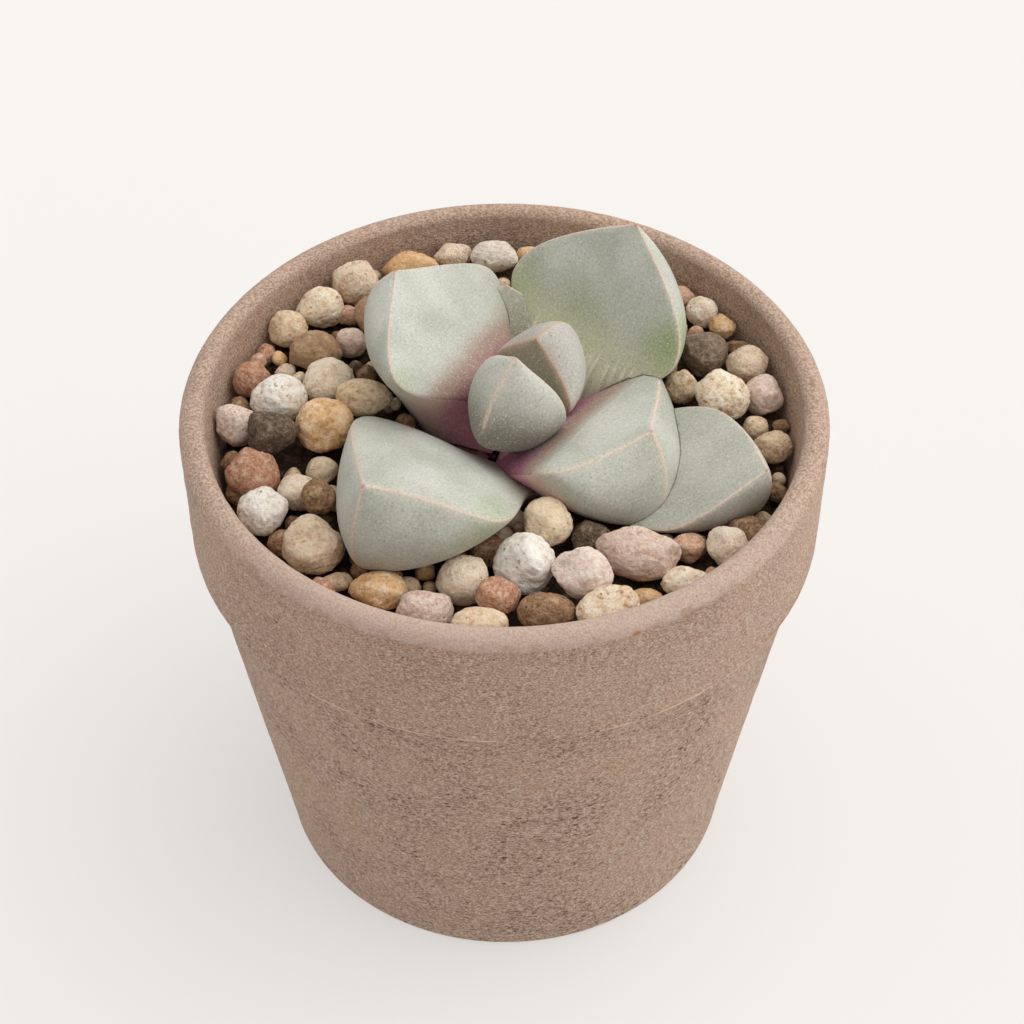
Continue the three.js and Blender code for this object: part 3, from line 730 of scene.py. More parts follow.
def leaf_material(settings):
    """Living stone-plant skin: a waxy bloom over grey-green, finely mealy and quite matt."""
    material, tree, shader, place = new_material("waxy_leaf_skin")
    mark = {
        name: add_node(tree, "ShaderNodeAttribute", {"attribute_name": name}).outputs["Fac"]
        for name in LEAF_NUMBERS
    }
    clouds = add_node(tree, NOISE, inputs=zip(NOISE_INPUTS, (place, per_mm(7), 2)))
    meal = add_node(tree, NOISE, inputs=zip(NOISE_INPUTS, (place, per_mm(0.26), 3, 0.8)))
    cells = add_node(tree, CELLS, inputs={"Vector": place, "Scale": per_mm(0.85)})
    pick = add_node(tree, CHANNELS, inputs={0: cells.outputs["Color"]})
    dot = add_node(tree, RANGE, inputs=zip(RANGE_INPUTS, (cells, 0.13, 0.05)))
    dots = {}
    for name, channel, least in (("pore", 0, 0.78), ("grain", 1, 0.68)):
        chosen = add_node(
            tree, MATHS, {"operation": "GREATER_THAN"}, {0: pick.outputs[channel], 1: least}
        )
        dots[name] = add_node(tree, MATHS, MULTIPLY, {0: dot, 1: chosen})

    # Pale streaks that fan out along a leaf's base.
    wide = add_node(tree, MATHS, MULTIPLY, {0: mark["across"], 1: 15.0})
    fan = add_node(tree, "ShaderNodeCombineXYZ", inputs={0: wide, 1: mark["along"]})
    lines = add_node(tree, NOISE, inputs=zip(NOISE_INPUTS, (fan, 1.6, 2)))
    base = add_node(tree, RANGE, inputs=zip(RANGE_INPUTS, (mark["along"], 0.62, 0.4)))
    streaked = add_node(tree, MATHS, MULTIPLY, {0: mark["streaks"], 1: base})
    streak = add_node(tree, MATHS, MULTIPLY, {0: streaked, 1: lines})

    # The ridge line wavers a little in width, and is lost where the neck begins.
    wavering = add_node(tree, MATHS, MULTIPLY_ADD, {0: clouds, 1: -0.3, 2: mark["ridge"]})
    lost = add_node(tree, MATHS, SUBTRACT, {0: 1.0, 1: mark["shown"]})
    ridge = add_node(tree, MATHS, MULTIPLY_ADD, {0: lost, 1: 1.6, 2: wavering})
    ember = add_node(tree, MATHS, SUBTRACT, {0: ridge, 1: mark["ember"]})
    colour = paint(
        tree,
        settings.skin,
        [
            (clouds, 0.3, 0.75, 1.0, settings.skin_dark),
            (mark["dusk"], 0.0, 1.0, 1.0, settings.dusk),
            # Painted shade: darker towards a leaf's base, which lies deep among the other leaves.
            (mark["along"], 0.5, 0.05, 0.45, "#8E8D78"),
            # Painted shade, as strong as each leaf's shade mark.
            (mark["shade"], 0.0, 1.0, 0.85, "#726C5C"),
            # A duller olive on the upper faces: partly their own tone, partly painted shade.
            (mark["olive"], 0.0, 1.0, 0.9, "#958C72"),
            (mark["moss"], 0.05, 0.95, 0.9, settings.moss),
            (streaked, 0.0, 1.0, 0.7, "#BDBB98"),
            (streak, 0.42, 0.62, 0.6, "#E4DEC6"),
            (ridge, 1.1, 0.0, 0.18, "#D3BBAA"),
            (ridge, 0.17, -0.12, 0.8, settings.ridge),
            (mark["flush"], 0.0, 0.5, 0.85, "#997465"),
            (mark["flush"], 0.55, 1.1, 0.9, settings.flush),
            # Painted light: the flush on the lower sides is paler and pinker to lift the shade they
            # lie in; the pink itself is the leaf's own.
            (mark["under"], 0.0, 0.4, 0.8, "#D9B3A6"),
            (mark["under"], 0.45, 0.9, 0.8, "#C67790"),
            (meal, 0.52, 0.68, 0.4, "#E6E8E0"),
            (meal, 0.47, 0.3, 0.55, "#6C7264"),
            (dots["pore"], 0.0, 1.0, 0.65, "#62635A"),
            (dots["grain"], 0.0, 1.0, 0.6, "#EDEEE6"),
            (ember, -0.8, -1.1, 0.55, "#B98363"),
            (mark["along"], 0.988, 0.998, 0.65, settings.tip),
        ],
    )
    normal = emboss(tree, [(meal, 0.015), (dots["grain"], 0.04), (dots["pore"], -0.05)])
    finish_material(tree, shader, colour, normal, roughness=0.6, specular=0.3)
    set_finish(shader, WAXY)
    return material


BUD_POINT_STEP = 9  # every ninth point of the bud is near enough for the flush
FLARED = 0.7  # the ridge line begins this share of the way from the neck to the widest point,
LINE_BEFORE, LINE_AFTER = 0.12, 0.1  # fading in from before it to after it along the leaf
BEAD_HALF = 0.3  # half the width of the bead along a ridge
SWELL_SIZES, QUICK_SHARE = (5.5, 1.7), 0.15  # of slow and quick swells, and the quick ones' depth
LEAF_APART = 9.1  # keeps the swells of one leaf unlike those of the next
EVEN_TIP = 0.93  # the swells fade out from this share of the length to the tip
MOSS_ACROSS = 0.5  # what a share of the half width counts against a share of the length


def cut_away(piece, cutters):
    """Cuts the shapes of the cutters, which are closed meshes, out of a piece."""
    for cutter in cutters:
        cut = piece.modifiers.new("clasp", "BOOLEAN")
        cut.operation = "DIFFERENCE"
        cut.solver = "MANIFOLD"
        cut.object = cutter
    keep_evaluated(piece)


def vertex_normals(piece):
    """The normals of a piece's vertices, one row each."""
    normals = np.empty(len(piece.data.vertices) * 3, np.float32)
    piece.data.vertex_normals.foreach_get("vector", normals)
    return normals.reshape(-1, 3)


def grown_copy(piece, distance):
    """A copy of a piece with its surface moved outwards, to cut with."""
    copy = piece.copy()
    copy.data = piece.data.copy()
    bpy.context.scene.collection.objects.link(copy)
    place = np.empty(len(copy.data.vertices) * 3, np.float32)
    copy.data.vertices.foreach_get("co", place)
    copy.data.vertices.foreach_set("co", place + vertex_normals(copy).ravel() * distance)
    copy.data.update()
    return copy


def leaf_relief(settings, leaf, number, vertices, numbers, normals):
    """A leaf's vertices with a bead along its ridges and slow swells in its sides, and how
    clearly the ridge line shows at each."""
    along = numbers["along"]
    flared = leaf["neck_end"] + FLARED * (leaf["widest_at"] - leaf["neck_end"])
    shown = smoothstep(flared - LINE_BEFORE, flared + LINE_AFTER, along)
    bead = settings.ridge_bead / MM * np.exp(-((numbers["ridge"] / BEAD_HALF) ** 2)) * shown
    offset = Vector((number * LEAF_APART, 0, 0))
    slow, quick = (
        np.array([noise.noise(Vector(p) / size + offset) for p in vertices])
        for size in SWELL_SIZES
    )
    uneven = settings.swell / MM * (slow + QUICK_SHARE * quick)
    shift = bead + uneven * smoothstep(1.0, EVEN_TIP, along)
    return vertices + shift[:, None] * normals, shown


def leaf_values(settings, name, vertices, numbers, shown, bud_points):
    """What the skin reads at each vertex of a leaf."""
    marks, along, upper = MARKS[name], numbers["along"], numbers["upper"]
    strength, solid_until, gone_at = marks["flush"]
    flush = strength * smoothstep(gone_at, solid_until, along)
    if name not in BUD:
        bud = search_tree(bud_points)
        distance = np.array([bud.find(point)[2] for point in vertices])
        flush *= np.exp(-((distance / (settings.flush_reach / MM)) ** 2))
    moss = np.zeros(len(vertices))
    for centre, side, size, depth in marks["moss"]:
        away = np.hypot(along - centre, (numbers["across"] - side) * MOSS_ACROSS)
        moss = np.maximum(moss, depth * np.exp(-((away / size) ** 2)))
    shade, shade_from, shade_to = marks["shade"]
    return {
        "along": along,
        "across": numbers["across"],
        "ridge": numbers["ridge"],
        "shown": shown,
        "flush": flush,
        # The flush on the lower sides, which the skin paints lighter as painted light.
        "under": flush * (1 - upper),
        "moss": moss,
        "dusk": marks["dusk"],
        "olive": marks["olive"] * upper,
        "shade": shade * smoothstep(shade_from, shade_to, along),
        "streaks": marks["streaks"] * upper,
        "ember": marks["ember"],
    }


class LAPIDARIA_OT_leaves(bpy.types.Operator):
    """Build the eight leaves"""

    bl_idname = "lapidaria.leaves"
    bl_label = "Leaves"

    def execute(self, context):
        settings = context.scene.lapidaria_leaves
        material = leaf_material(settings)
        cutters, bud_points = [], []
        for number, (name, leaf) in enumerate(LEAVES.items()):
            vertices, faces, numbers = leaf_vertices(
                leaf, settings.rings, settings.side_points, settings.ridge_round / MM
            )
            piece = mesh_object(name + "_skin", vertices, faces, material)
            vertices, shown = leaf_relief(
                settings, leaf, number, vertices, numbers, vertex_normals(piece)
            )
            piece.data.vertices.foreach_set("co", (vertices * MM).astype(np.float32).ravel())
            piece.data.update()
            values = leaf_values(settings, name, vertices, numbers, shown, bud_points)
            for key, value in values.items():
                set_attribute(piece, key, value)
            if name in BUD:
                bud_points.extend(vertices[::BUD_POINT_STEP])
            uncut = grown_copy(piece, settings.clearance)
            cut_away(piece, cutters)
            cutters.append(uncut)
            seat(piece, "leaf", name)
        for cutter in cutters:
            bpy.data.objects.remove(cutter)
        return {"FINISHED"}


# ---- Pebbles ------------------------------------------------------------------------------

# Each kind: its main, dark and pale colours, how far apart its patches lie and how deep its
# pits are, both in mm, how far its flecks stand out, and its part in the small filling stones.
Stone = namedtuple("Stone", "main dark pale patch pits flecks fill")
STONES = {
    "cream": Stone("#F0DCBE", "#C2946A", "#FAF2E4", 1.3, 0.14, 0.5, 2),
    "buff": Stone("#F6E2C6", "#CFA67E", "#F5E7D3", 1.2, 0.1, 0.5, 3),
    "tan": Stone("#E8CDAB", "#B28E68", "#EBDABF", 1.1, 0.1, 0.5, 7),
    "orange": Stone("#E5B986", "#B8864F", "#F2DCBE", 1.4, 0.07, 0.5, 1),
    "rust": Stone("#CD9A7A", "#8E5A3E", "#EACDB6", 0.8, 0.1, 0.7, 3),
    "brown": Stone("#997455", "#5B3F2A", "#C8A884", 1.0, 0.12, 0.5, 5),
    "mauve": Stone("#EBD2C2", "#C29880", "#F4E8DD", 0.8, 0.08, 0.8, 1),
    "charcoal": Stone("#786554", "#382A1F", "#B29C86", 0.7, 0.16, 0.5, 1),
    "white": Stone("#F2E9DC", "#C0A68B", "#FBF8F1", 1.0, 0.26, 0.3, 0),
}
# Smaller stones beside the named ones, a few of which reach into them: kind, x, y, width and
# height.
LOOSE_STONES = [
    ("orange", 2.8, 29.5, 3.3, 2.1),
    ("brown", 26, 14.6, 2.9, 1.8),
    ("tan", 27.3, 1.9, 2.9, 2.6),
    ("brown", 30.2, 2.6, 2, 1.6),
    ("brown", 29.1, -7.6, 2.4, 2.3),
    ("orange", 14.5, -22.2, 3.8, 2.3),
    ("tan", -9.8, -20.5, 2.4, 2.3),
    ("tan", -17.4, -19.8, 3.3, 2.1),
    ("brown", -23.4, -15, 3.1, 2.8),
    ("brown", -22.1, -12, 2.4, 2.1),
    ("brown", -28.2, -7.8, 3.1, 3),
    ("brown", -29.4, -3.4, 2.7, 2.5),
    ("tan", -19.6, -4.8, 3.6, 3.3),
    ("buff", -24.4, 10.5, 2.4, 2.1),
    ("mauve", -17.2, 14.5, 3.6, 3.4),
    ("rust", -17.7, 19.4, 3.1, 2.3),
    ("tan", -20.5, 20.8, 4.2, 2.6),
    ("brown", -15.4, 10, 2.4, 2.3),
]
BED_TOP, BED_SLOPE = 54.6, 0.06  # the fine gravel's height at the axis, and its rise to the back
FINE_BALL, PLAIN_BALL = 5, 4  # fineness of the named stones and of the small ones
LOOSE_LIFT = 0.2  # a small stone lies this high above the fine gravel
FILL_SIZES = (2.1, 1.8, 1.55, 1.35, 1.15, 1.0, 0.85)  # radii of filling stones, largest first
FILL_SPREAD = (0.9, 1.1)  # least and greatest share of such a radius that a stone may have
SQUASHED = (0.85, 1.0), (0.75, 0.95)  # its second and third radius, as shares of the first
LUMP_SIZE = 1.6  # how far apart the lumps of its surface lie
SUNK = 0.7  # a filling stone on the bed stands this share of its radius above it
TOUCH = 0.95  # stones are lumpy, so their balls may overlap this little
FILL_TOP = 1.3  # a filling stone's top may stand this high above the bed,
FILL_RISE = 1.75  # and this many times its radius more, so that small ones lie deep
# A stone's shape, in shares of its radius. Lobes grow out of a core, each at some distance and
# of some size, and flats are rubbed into them. The higher a blend, the sharper they meet.
CORE, LOBES, LOBE_OUT, LOBE_SIZE, LOBE_BLEND = 0.84, 5, (0.25, 0.5), (0.55, 0.72), 18
FLATS, FLAT_DEPTH, FLAT_BLEND = 16, (0.76, 1.0), 26
SWELLING, ROUGHNESS = 0.06, 0.03  # height of the slow swells and of the fine ones


class PebbleSettings(bpy.types.PropertyGroup):
    """Shape and number of the loose pebbles."""

    seed: IntProperty(name="Seed", description="Which set of pebble shapes", default=7)
    growth: FloatProperty(
        name="Growth",
        description="Size against the frame's pebbles, which keep clear of each other",
        default=1.1,
    )
    tries: IntProperty(
        name="Tries",
        description="Places tried for filling stones of each size",
        default=2500,
        min=0,
    )
    fine_from: size_property("Coarse below", 1.1, "Filling stones smaller than this are simpler")
    lump: FloatProperty(
        name="Lumpiness",
        description="How far a filling stone's surface strays, as a share of its size",
        default=0.55,
    )


def stone_material(kind, stone):
    """Dry river gravel: matt, mottled in soft patches, granular, with small open pits."""
    material, tree, shader, place = new_material(kind + "_river_stone")
    patches, grains = (
        add_node(tree, NOISE, inputs=zip(NOISE_INPUTS, row))
        for row in ((place, per_mm(stone.patch), 5, 0.68), (place, per_mm(0.3), 3, 0.8))
    )
    tint, hollow = (
        add_node(tree, "ShaderNodeAttribute", {"attribute_name": name}).outputs["Fac"]
        for name in ("tint", "hollow")
    )
    cells = add_node(tree, CELLS, inputs={"Vector": place, "Scale": per_mm(0.75)})
    pick = add_node(tree, CHANNELS, inputs={0: cells.outputs["Color"]})
    size = add_node(tree, MATHS, MULTIPLY_ADD, {0: pick, 1: 0.42, 2: -0.14})
    pit = add_node(tree, MATHS, SUBTRACT, {0: size, 1: cells})
    open_pit = add_node(tree, RANGE, inputs=zip(RANGE_INPUTS, (pit, 0.0, 0.1)))
    colour = paint(
        tree,
        linear(stone.main),
        [
            (patches, 0.48, 0.35, 0.65, stone.dark),
            (patches, 0.5, 0.64, 0.85, stone.pale),
            (grains, 0.48, 0.32, 0.55, stone.dark),
            (grains, 0.52, 0.66, stone.flecks, stone.pale),
            (hollow, 0.0, 1.0, 0.55, stone.dark),
            (pit, 0.0, 0.08, min(0.85, stone.pits * 6), stone.dark),
            (tint, 0.5, 0.0, 0.3, stone.dark),
            (tint, 0.5, 1.0, 0.35, stone.pale),
        ],
    )
    normal = emboss(tree, [(patches, 0.35), (grains, 0.16), (open_pit, -stone.pits)])
    finish_material(tree, shader, colour, normal, roughness=0.85)
    return material


def unit_ball(fineness):
    """Directions of the vertices of a ball of triangles, and its faces."""
    ball = bmesh.new()
    bmesh.ops.create_icosphere(ball, subdivisions=fineness, radius=1)
    directions = np.array([v.co for v in ball.verts])
    faces = [tuple(v.index for v in f.verts) for f in ball.faces]
    ball.free()
    return directions, faces


def stone_surface(low, high, rng, directions):
    """A weathered nodule that fills the box between two corners, in millimetres: a few rounded
    lobes grown together, rubbed flat in places. Gives its vertices and how hollow each lies."""
    reaches = [np.full(len(directions), CORE)]
    for _ in range(LOBES):
        centre = np.array([rng.gauss(0, 1) for _ in range(3)])
        centre *= rng.uniform(*LOBE_OUT) / np.linalg.norm(centre)
        size = rng.uniform(*LOBE_SIZE)
        ahead = directions @ centre
        reaches.append(ahead + np.sqrt(size**2 - centre @ centre + ahead**2))
    lobed = (np.array(reaches) ** LOBE_BLEND).sum(0) ** (1 / LOBE_BLEND)
    planes = np.array([rng.gauss(0, 1) for _ in range(3 * FLATS)]).reshape(FLATS, 3)
    planes /= np.linalg.norm(planes, axis=1, keepdims=True)
    depths = np.array([rng.uniform(*FLAT_DEPTH) for _ in range(FLATS)])
    facing = np.maximum(directions @ planes.T, 0) / depths
    radius = (lobed**-FLAT_BLEND + (facing**FLAT_BLEND).sum(1)) ** (-1 / FLAT_BLEND)
    offset = Vector([rng.uniform(-50, 50) for _ in range(3)])
    swells = np.array([noise.fractal(Vector(d) * 1.6 + offset, 1.0, 2, 3) for d in directions])
    rough = np.array([noise.fractal(Vector(d) * 6 + offset, 0.8, 2, 3) for d in directions])
    shape = directions * (radius * (1 + SWELLING * swells + ROUGHNESS * rough))[:, None]
    lowest, highest = shape.min(0), shape.max(0)
    share = (shape - lowest) / (highest - lowest)
    hollow = smoothstep(0.15, 0.7, -rough - 0.4 * swells)
    return low + share * (high - low), hollow


def bed_height(y):
    """Height of the fine gravel, which rises to the back, in millimetres."""
    return BED_TOP + BED_SLOPE * y


def drop_fill(settings, pot, rng, balls, leaf_points):
    """Drops filling stones into the gaps, the largest first. Each comes to rest on the bed or
    on the stones below it, and keeps its distance from the skin of the leaves. Nothing tells the
    inside of a leaf from the outside, so some stones lie hidden within the leaves. Balls and
    results are x, y, z and radius in millimetres."""
    leaves = search_tree(leaf_points)
    mouth, rim = pot.mouth / MM, pot.height / MM
    balls = [list(ball) for ball in balls]
    first = len(balls)
    for radius in FILL_SIZES:
        for _ in range(settings.tries):
            angle, out = rng.uniform(0, 2 * math.pi), mouth * math.sqrt(rng.random())
            x, y = out * math.cos(angle), out * math.sin(angle)
            size = radius * rng.uniform(*FILL_SPREAD)
            known = np.array(balls)
            apart = (known[:, 0] - x) ** 2 + (known[:, 1] - y) ** 2
            reach = ((known[:, 3] + size) * TOUCH) ** 2
            over = apart < reach
            rests = known[over, 2] + np.sqrt(reach[over] - apart[over])
            z = max([bed_height(y) + SUNK * size, *rests])
            wall = mouth - (rim - z) * POT_WALL_SLOPE
            top = bed_height(y) + FILL_TOP + FILL_RISE * size
            fits = z + size <= top and out + size <= wall
            if fits and leaves.find((x, y, z))[2] >= TOUCH * size:
                balls.append([x, y, z, size])
    return balls[first:]


def loose_stone_tree():
    """Nodes that turn points into loose stones: a ball at each point, finer for the larger
    stones, squashed and turned by the point's own numbers, then made lumpy."""
    tree = bpy.data.node_groups.new("loose_stones", "GeometryNodeTree")
    for name, way, kind in (
        ("Points", "INPUT", "Geometry"),
        ("Fine from", "INPUT", "Float"),
        ("Lumpiness", "INPUT", "Float"),
        ("Lump size", "INPUT", "Float"),
        ("Material", "INPUT", "Material"),
        ("Stones", "OUTPUT", "Geometry"),
    ):
        tree.interface.new_socket(name, in_out=way, socket_type="NodeSocket" + kind)
    given = add_node(tree, "NodeGroupInput").outputs
    radius, girth, spin = (
        add_node(
            tree, "GeometryNodeInputNamedAttribute", {"data_type": kind}, {"Name": name}
        ).outputs["Attribute"]
        for name, kind in (("radius", "FLOAT"), ("girth", "FLOAT_VECTOR"), ("spin", "FLOAT_VECTOR"))
    )
    joined = add_node(tree, "GeometryNodeJoinGeometry")
    for operation, fineness in (("GREATER_EQUAL", 3), ("LESS_THAN", 2)):
        chosen = add_node(
            tree,
            "FunctionNodeCompare",
            {"data_type": "FLOAT", "operation": operation},
            {0: radius, 1: given["Fine from"]},
        )
        ball = add_node(
            tree, "GeometryNodeMeshIcoSphere", inputs={"Radius": 1.0, "Subdivisions": fineness}
        )
        placed = add_node(
            tree,
            "GeometryNodeInstanceOnPoints",
            inputs={
                "Points": given["Points"],
                "Selection": chosen,
                "Instance": ball,
                "Rotation": spin,
                "Scale": girth,
            },
        )
        tree.links.new(placed.outputs[0], joined.inputs[0])
    real = add_node(tree, "GeometryNodeRealizeInstances", inputs={0: joined})
    where = add_node(tree, "GeometryNodeInputPosition")
    swells = add_node(
        tree, NOISE, inputs=zip(NOISE_INPUTS, (where, given["Lump size"], 1.0))
    ).outputs["Color"]
    centred = add_node(tree, "ShaderNodeVectorMath", SUBTRACT, {0: swells, 1: (0.5, 0.5, 0.5)})
    reach = add_node(tree, MATHS, MULTIPLY, {0: radius, 1: given["Lumpiness"]})
    shift = add_node(
        tree, "ShaderNodeVectorMath", {"operation": "SCALE"}, {0: centred, "Scale": reach}
    )
    lumpy = add_node(tree, "GeometryNodeSetPosition", inputs={0: real, "Offset": shift})
    smooth = add_node(tree, "GeometryNodeSetShadeSmooth", inputs={0: lumpy})
    dressed = add_node(
        tree, "GeometryNodeSetMaterial", inputs={0: smooth, "Material": given["Material"]}
    )
    add_node(tree, "NodeGroupOutput", inputs={0: dressed})
    return tree


def grow_stones(piece, tree, settings, material):
    """Runs the stone nodes on a piece's points and keeps the result as its plain mesh."""
    grower = piece.modifiers.new("stones", "NODES")
    grower.node_group = tree
    values = {
        "Fine from": settings.fine_from,
        "Lumpiness": settings.lump,
        "Lump size": per_mm(LUMP_SIZE),
        "Material": material,
    }
    for socket in tree.interface.items_tree:
        if socket.in_out == "INPUT" and socket.name in values:
            grower[socket.identifier] = values[socket.name]
    keep_evaluated(piece)
    if len(piece.data.materials) == 0:
        piece.data.materials.append(material)


def dress_pebbles(settings, rng, materials):
    """Makes the stone that stands for each pebble of the frame. Gives them all as balls."""
    directions, faces = unit_ball(FINE_BALL)
    balls = []
    for kind, material in materials.items():
        prefix = kind + "_pebble_"
        for node in sorted(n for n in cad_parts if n.startswith(prefix)):
            low, high = (np.array(corner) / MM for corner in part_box(node))
            middle, half = (low + high) / 2, (high - low) / 2 * settings.growth
            vertices, hollow = stone_surface(middle - half, middle + half, rng, directions)
            piece = mesh_object(node + "_stone", vertices, faces, material)
            set_attribute(piece, "tint", rng.random())
            set_attribute(piece, "hollow", hollow)
            seat(piece, kind + "_stone", node)
            balls.append([*middle, half[:2].mean()])
    return balls


def add_small_stones(rng, materials):
    """Adds the loose stones, those of a kind as one piece. Gives them all as balls."""
    directions, ball_faces = unit_ball(PLAIN_BALL)
    balls = []
    for kind, material in materials.items():
        parts, faces, tints, hollows = [], [], [], []
        for x, y, width, height in (s[1:] for s in LOOSE_STONES if s[0] == kind):
            middle = np.array([x, y, bed_height(y) + height / 2 + LOOSE_LIFT])
            half = np.array([width, height, height]) / 2
            vertices, hollow = stone_surface(middle - half, middle + half, rng, directions)
            start = len(vertices) * len(parts)
            faces += [tuple(v + start for v in face) for face in ball_faces]
            parts.append(vertices)
            tints += [rng.random()] * len(vertices)
            hollows.append(hollow)
            balls.append([*middle, width / 2])
        if parts:
            piece = mesh_object("small_%s_stones" % kind, np.vstack(parts), faces, material)
            set_attribute(piece, "tint", tints)
            set_attribute(piece, "hollow", np.hstack(hollows))
            seat(piece, kind + "_stone")
    return balls


def add_filling(settings, rng, materials, fill):
    """Adds the filling stones, which are given as balls, those of a kind as one piece."""
    weights = [stone.fill for stone in STONES.values()]
    kinds = rng.choices(list(STONES), weights, k=len(fill))
    tree = loose_stone_tree()
    for kind, material in materials.items():
        chosen = np.array([ball for ball, of in zip(fill, kinds) if of == kind])
        if not len(chosen):
            continue
        piece = mesh_object("filling_%s_stones" % kind, chosen[:, :3], [], material)
        radius = chosen[:, 3] * MM
        girth = [(r, *(r * rng.uniform(*shares) for shares in SQUASHED)) for r in radius]
        spin = [[rng.uniform(0, 2 * math.pi) for _ in range(3)] for _ in radius]
        set_attribute(piece, "radius", radius)
        set_attribute(piece, "tint", [rng.random() for _ in radius])
        for name, rows in (("girth", girth), ("spin", spin)):
            numbers = piece.data.attributes.new(name, "FLOAT_VECTOR", "POINT")
            numbers.data.foreach_set("vector", np.array(rows, np.float32).ravel())
        grow_stones(piece, tree, settings, material)
        seat(piece, kind + "_stone")


class LAPIDARIA_OT_pebbles(bpy.types.Operator):
    """Build the top dressing of loose pebbles"""

    bl_idname = "lapidaria.pebbles"
    bl_label = "Pebbles"

    def execute(self, context):
        settings = context.scene.lapidaria_pebbles
        rng = random.Random(settings.seed)
        materials = {kind: stone_material(kind, stone) for kind, stone in STONES.items()}
        balls = dress_pebbles(settings, rng, materials) + add_small_stones(rng, materials)
        leaf_points = []
        for name in LEAVES:
            leaf_points += [v.co / MM for v in bpy.data.objects[name + "_skin"].data.vertices]
        fill = drop_fill(settings, context.scene.lapidaria_pot, rng, balls, leaf_points)
        add_filling(settings, rng, materials, fill)
        return {"FINISHED"}


# ---- What fills the pot --------------------------------------------------------------------

# Grain size in mm, height of the grain in mm, and the colours from deep to light.
FILLINGS = {
    # The bed's grit is this dark to stand in for the deep shade between the stones: partly its own
    # colour, partly painted shade.
    "gravel_bed": ("fine_grit_with_painted_shade", 1.1, 0.5, ("#2E231A", "#4C3B2D", "#7A6048")),
    "potting_soil": ("peaty_potting_soil", 1.8, 0.6, ("#231A13", "#3E2F24", "#6A5440")),
    "root_stock": ("corky_root_bark", 0.9, 0.3, ("#4A3828", "#7C6248", "#A98D6C")),
    "drainage_shard": ("old_flowerpot_clay", 0.6, 0.1, ("#8A5A42", "#A8755A", "#C79A80")),
}


def filling_material(name, size, height, colours):
    """Loose or rough earthy stuff: crumbs of three tones, dull, with shadowed gaps."""
    material, tree, shader, place = new_material(name)
    crumbs = add_node(tree, CELLS, inputs={"Vector": place, "Scale": per_mm(size)})
    tone = add_node(tree, CHANNELS, inputs={0: crumbs.outputs["Color"]})
    rough = add_node(tree, NOISE, inputs=zip(NOISE_INPUTS, (place, per_mm(size / 3), 3)))
    deep, middle, light = colours
    colour = paint(
        tree,
        linear(middle),
        [
            (tone, 0.45, 0.05, 0.8, deep),
            (tone, 0.6, 1.0, 0.8, light),
            (crumbs, 0.35, 0.7, 0.9, deep),
            (rough, 0.55, 0.75, 0.4, light),
        ],
    )
    normal = emboss(tree, [(crumbs, -height), (rough, height / 3)])
    finish_material(tree, shader, colour, normal, roughness=0.95, specular=0.2)
    return material


class LAPIDARIA_OT_filling(bpy.types.Operator):
    """Dress the grit, the soil, the root and the shard, which keep their shapes"""

    bl_idname = "lapidaria.filling"
    bl_label = "Filling"

    def execute(self, context):
        for node, (name, size, height, colours) in FILLINGS.items():
            material = filling_material(name, size, height, colours)
            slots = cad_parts[node].material_slots
            if not slots:
                raise RuntimeError(node + " has no material slot")
            for slot in slots:
                slot.material = material
        return {"FINISHED"}


# ---- Stage --------------------------------------------------------------------------------

# Colour of the paper's painted glow.
PAINTED_GLOW_COLOUR = (1.0, 0.985, 0.97, 1.0)
FLOOR_HALF = 3000  # half the length of the paper's sides


class StageSettings(bpy.types.PropertyGroup):
    """Camera, lights and floor."""

    lens: FloatProperty(
        name="Lens", description="Focal length on a 36 mm sensor", default=98.44, unit="CAMERA"
    )
    distance: size_property("Distance", 311.8, "From the camera to the point it looks at")
    aim_x: size_property("Aim X", 0.79, "Sideways place of that point")
    aim_height: size_property("Aim height", 45.06, "Height of that point")
    elevation: FloatProperty(
        name="Elevation",
        description="How far the camera looks down",
        default=math.radians(45),
        subtype="ANGLE",
    )
    sky: FloatProperty(name="Sky", description="Mean strength of the soft sky", default=0.2)
    sky_sides: FloatProperty(
        name="Sky sides", description="How much brighter it is to the left and right", default=1.2
    )
    sky_lean: FloatVectorProperty(
        name="Sky lean",
        description="How much brighter the sky is towards the right, the back and the top",
        default=(0.5, 0.2, 0.66),
    )
    sun: FloatProperty(name="Sun", description="Strength of the soft key light", default=0.9)
    sun_from: FloatVectorProperty(
        name="Sun from", description="Where the key light comes from", default=(0.35, 0.05, 1.0)
    )
    sun_spread: FloatProperty(
        name="Sun spread",
        description="How wide the key light is, seen from the pot",
        default=math.radians(60),
        subtype="ANGLE",
    )
    floor: colour_property("Floor", "#A5A29F", "Pale matt paper sweep")
    # Painted light: the paper glows, though it is no lamp, so the shadows on it stay pale.
    floor_painted_glow: FloatProperty(
        name="Floor glow",
        description="Light that comes through the paper, which keeps the shadows on it pale",
        default=0.48,
    )


def lay_floor(stage):
    """A sweep of matt paper with a painted glow that keeps the shadows on it pale."""
    paper, _, shader, _ = new_material("pale_paper")
    finish = {
        "Base Color": stage.floor,
        "Roughness": 0.95,
        "Specular IOR Level": 0.1,
        "Emission Color": PAINTED_GLOW_COLOUR,
        "Emission Strength": stage.floor_painted_glow,
    }
    set_finish(shader, finish)
    half = FLOOR_HALF
    corners = [(-half, -half, 0), (half, -half, 0), (half, half, 0), (-half, half, 0)]
    mesh_object("paper_floor", corners, [(0, 1, 2, 3)], paper, smooth=False)


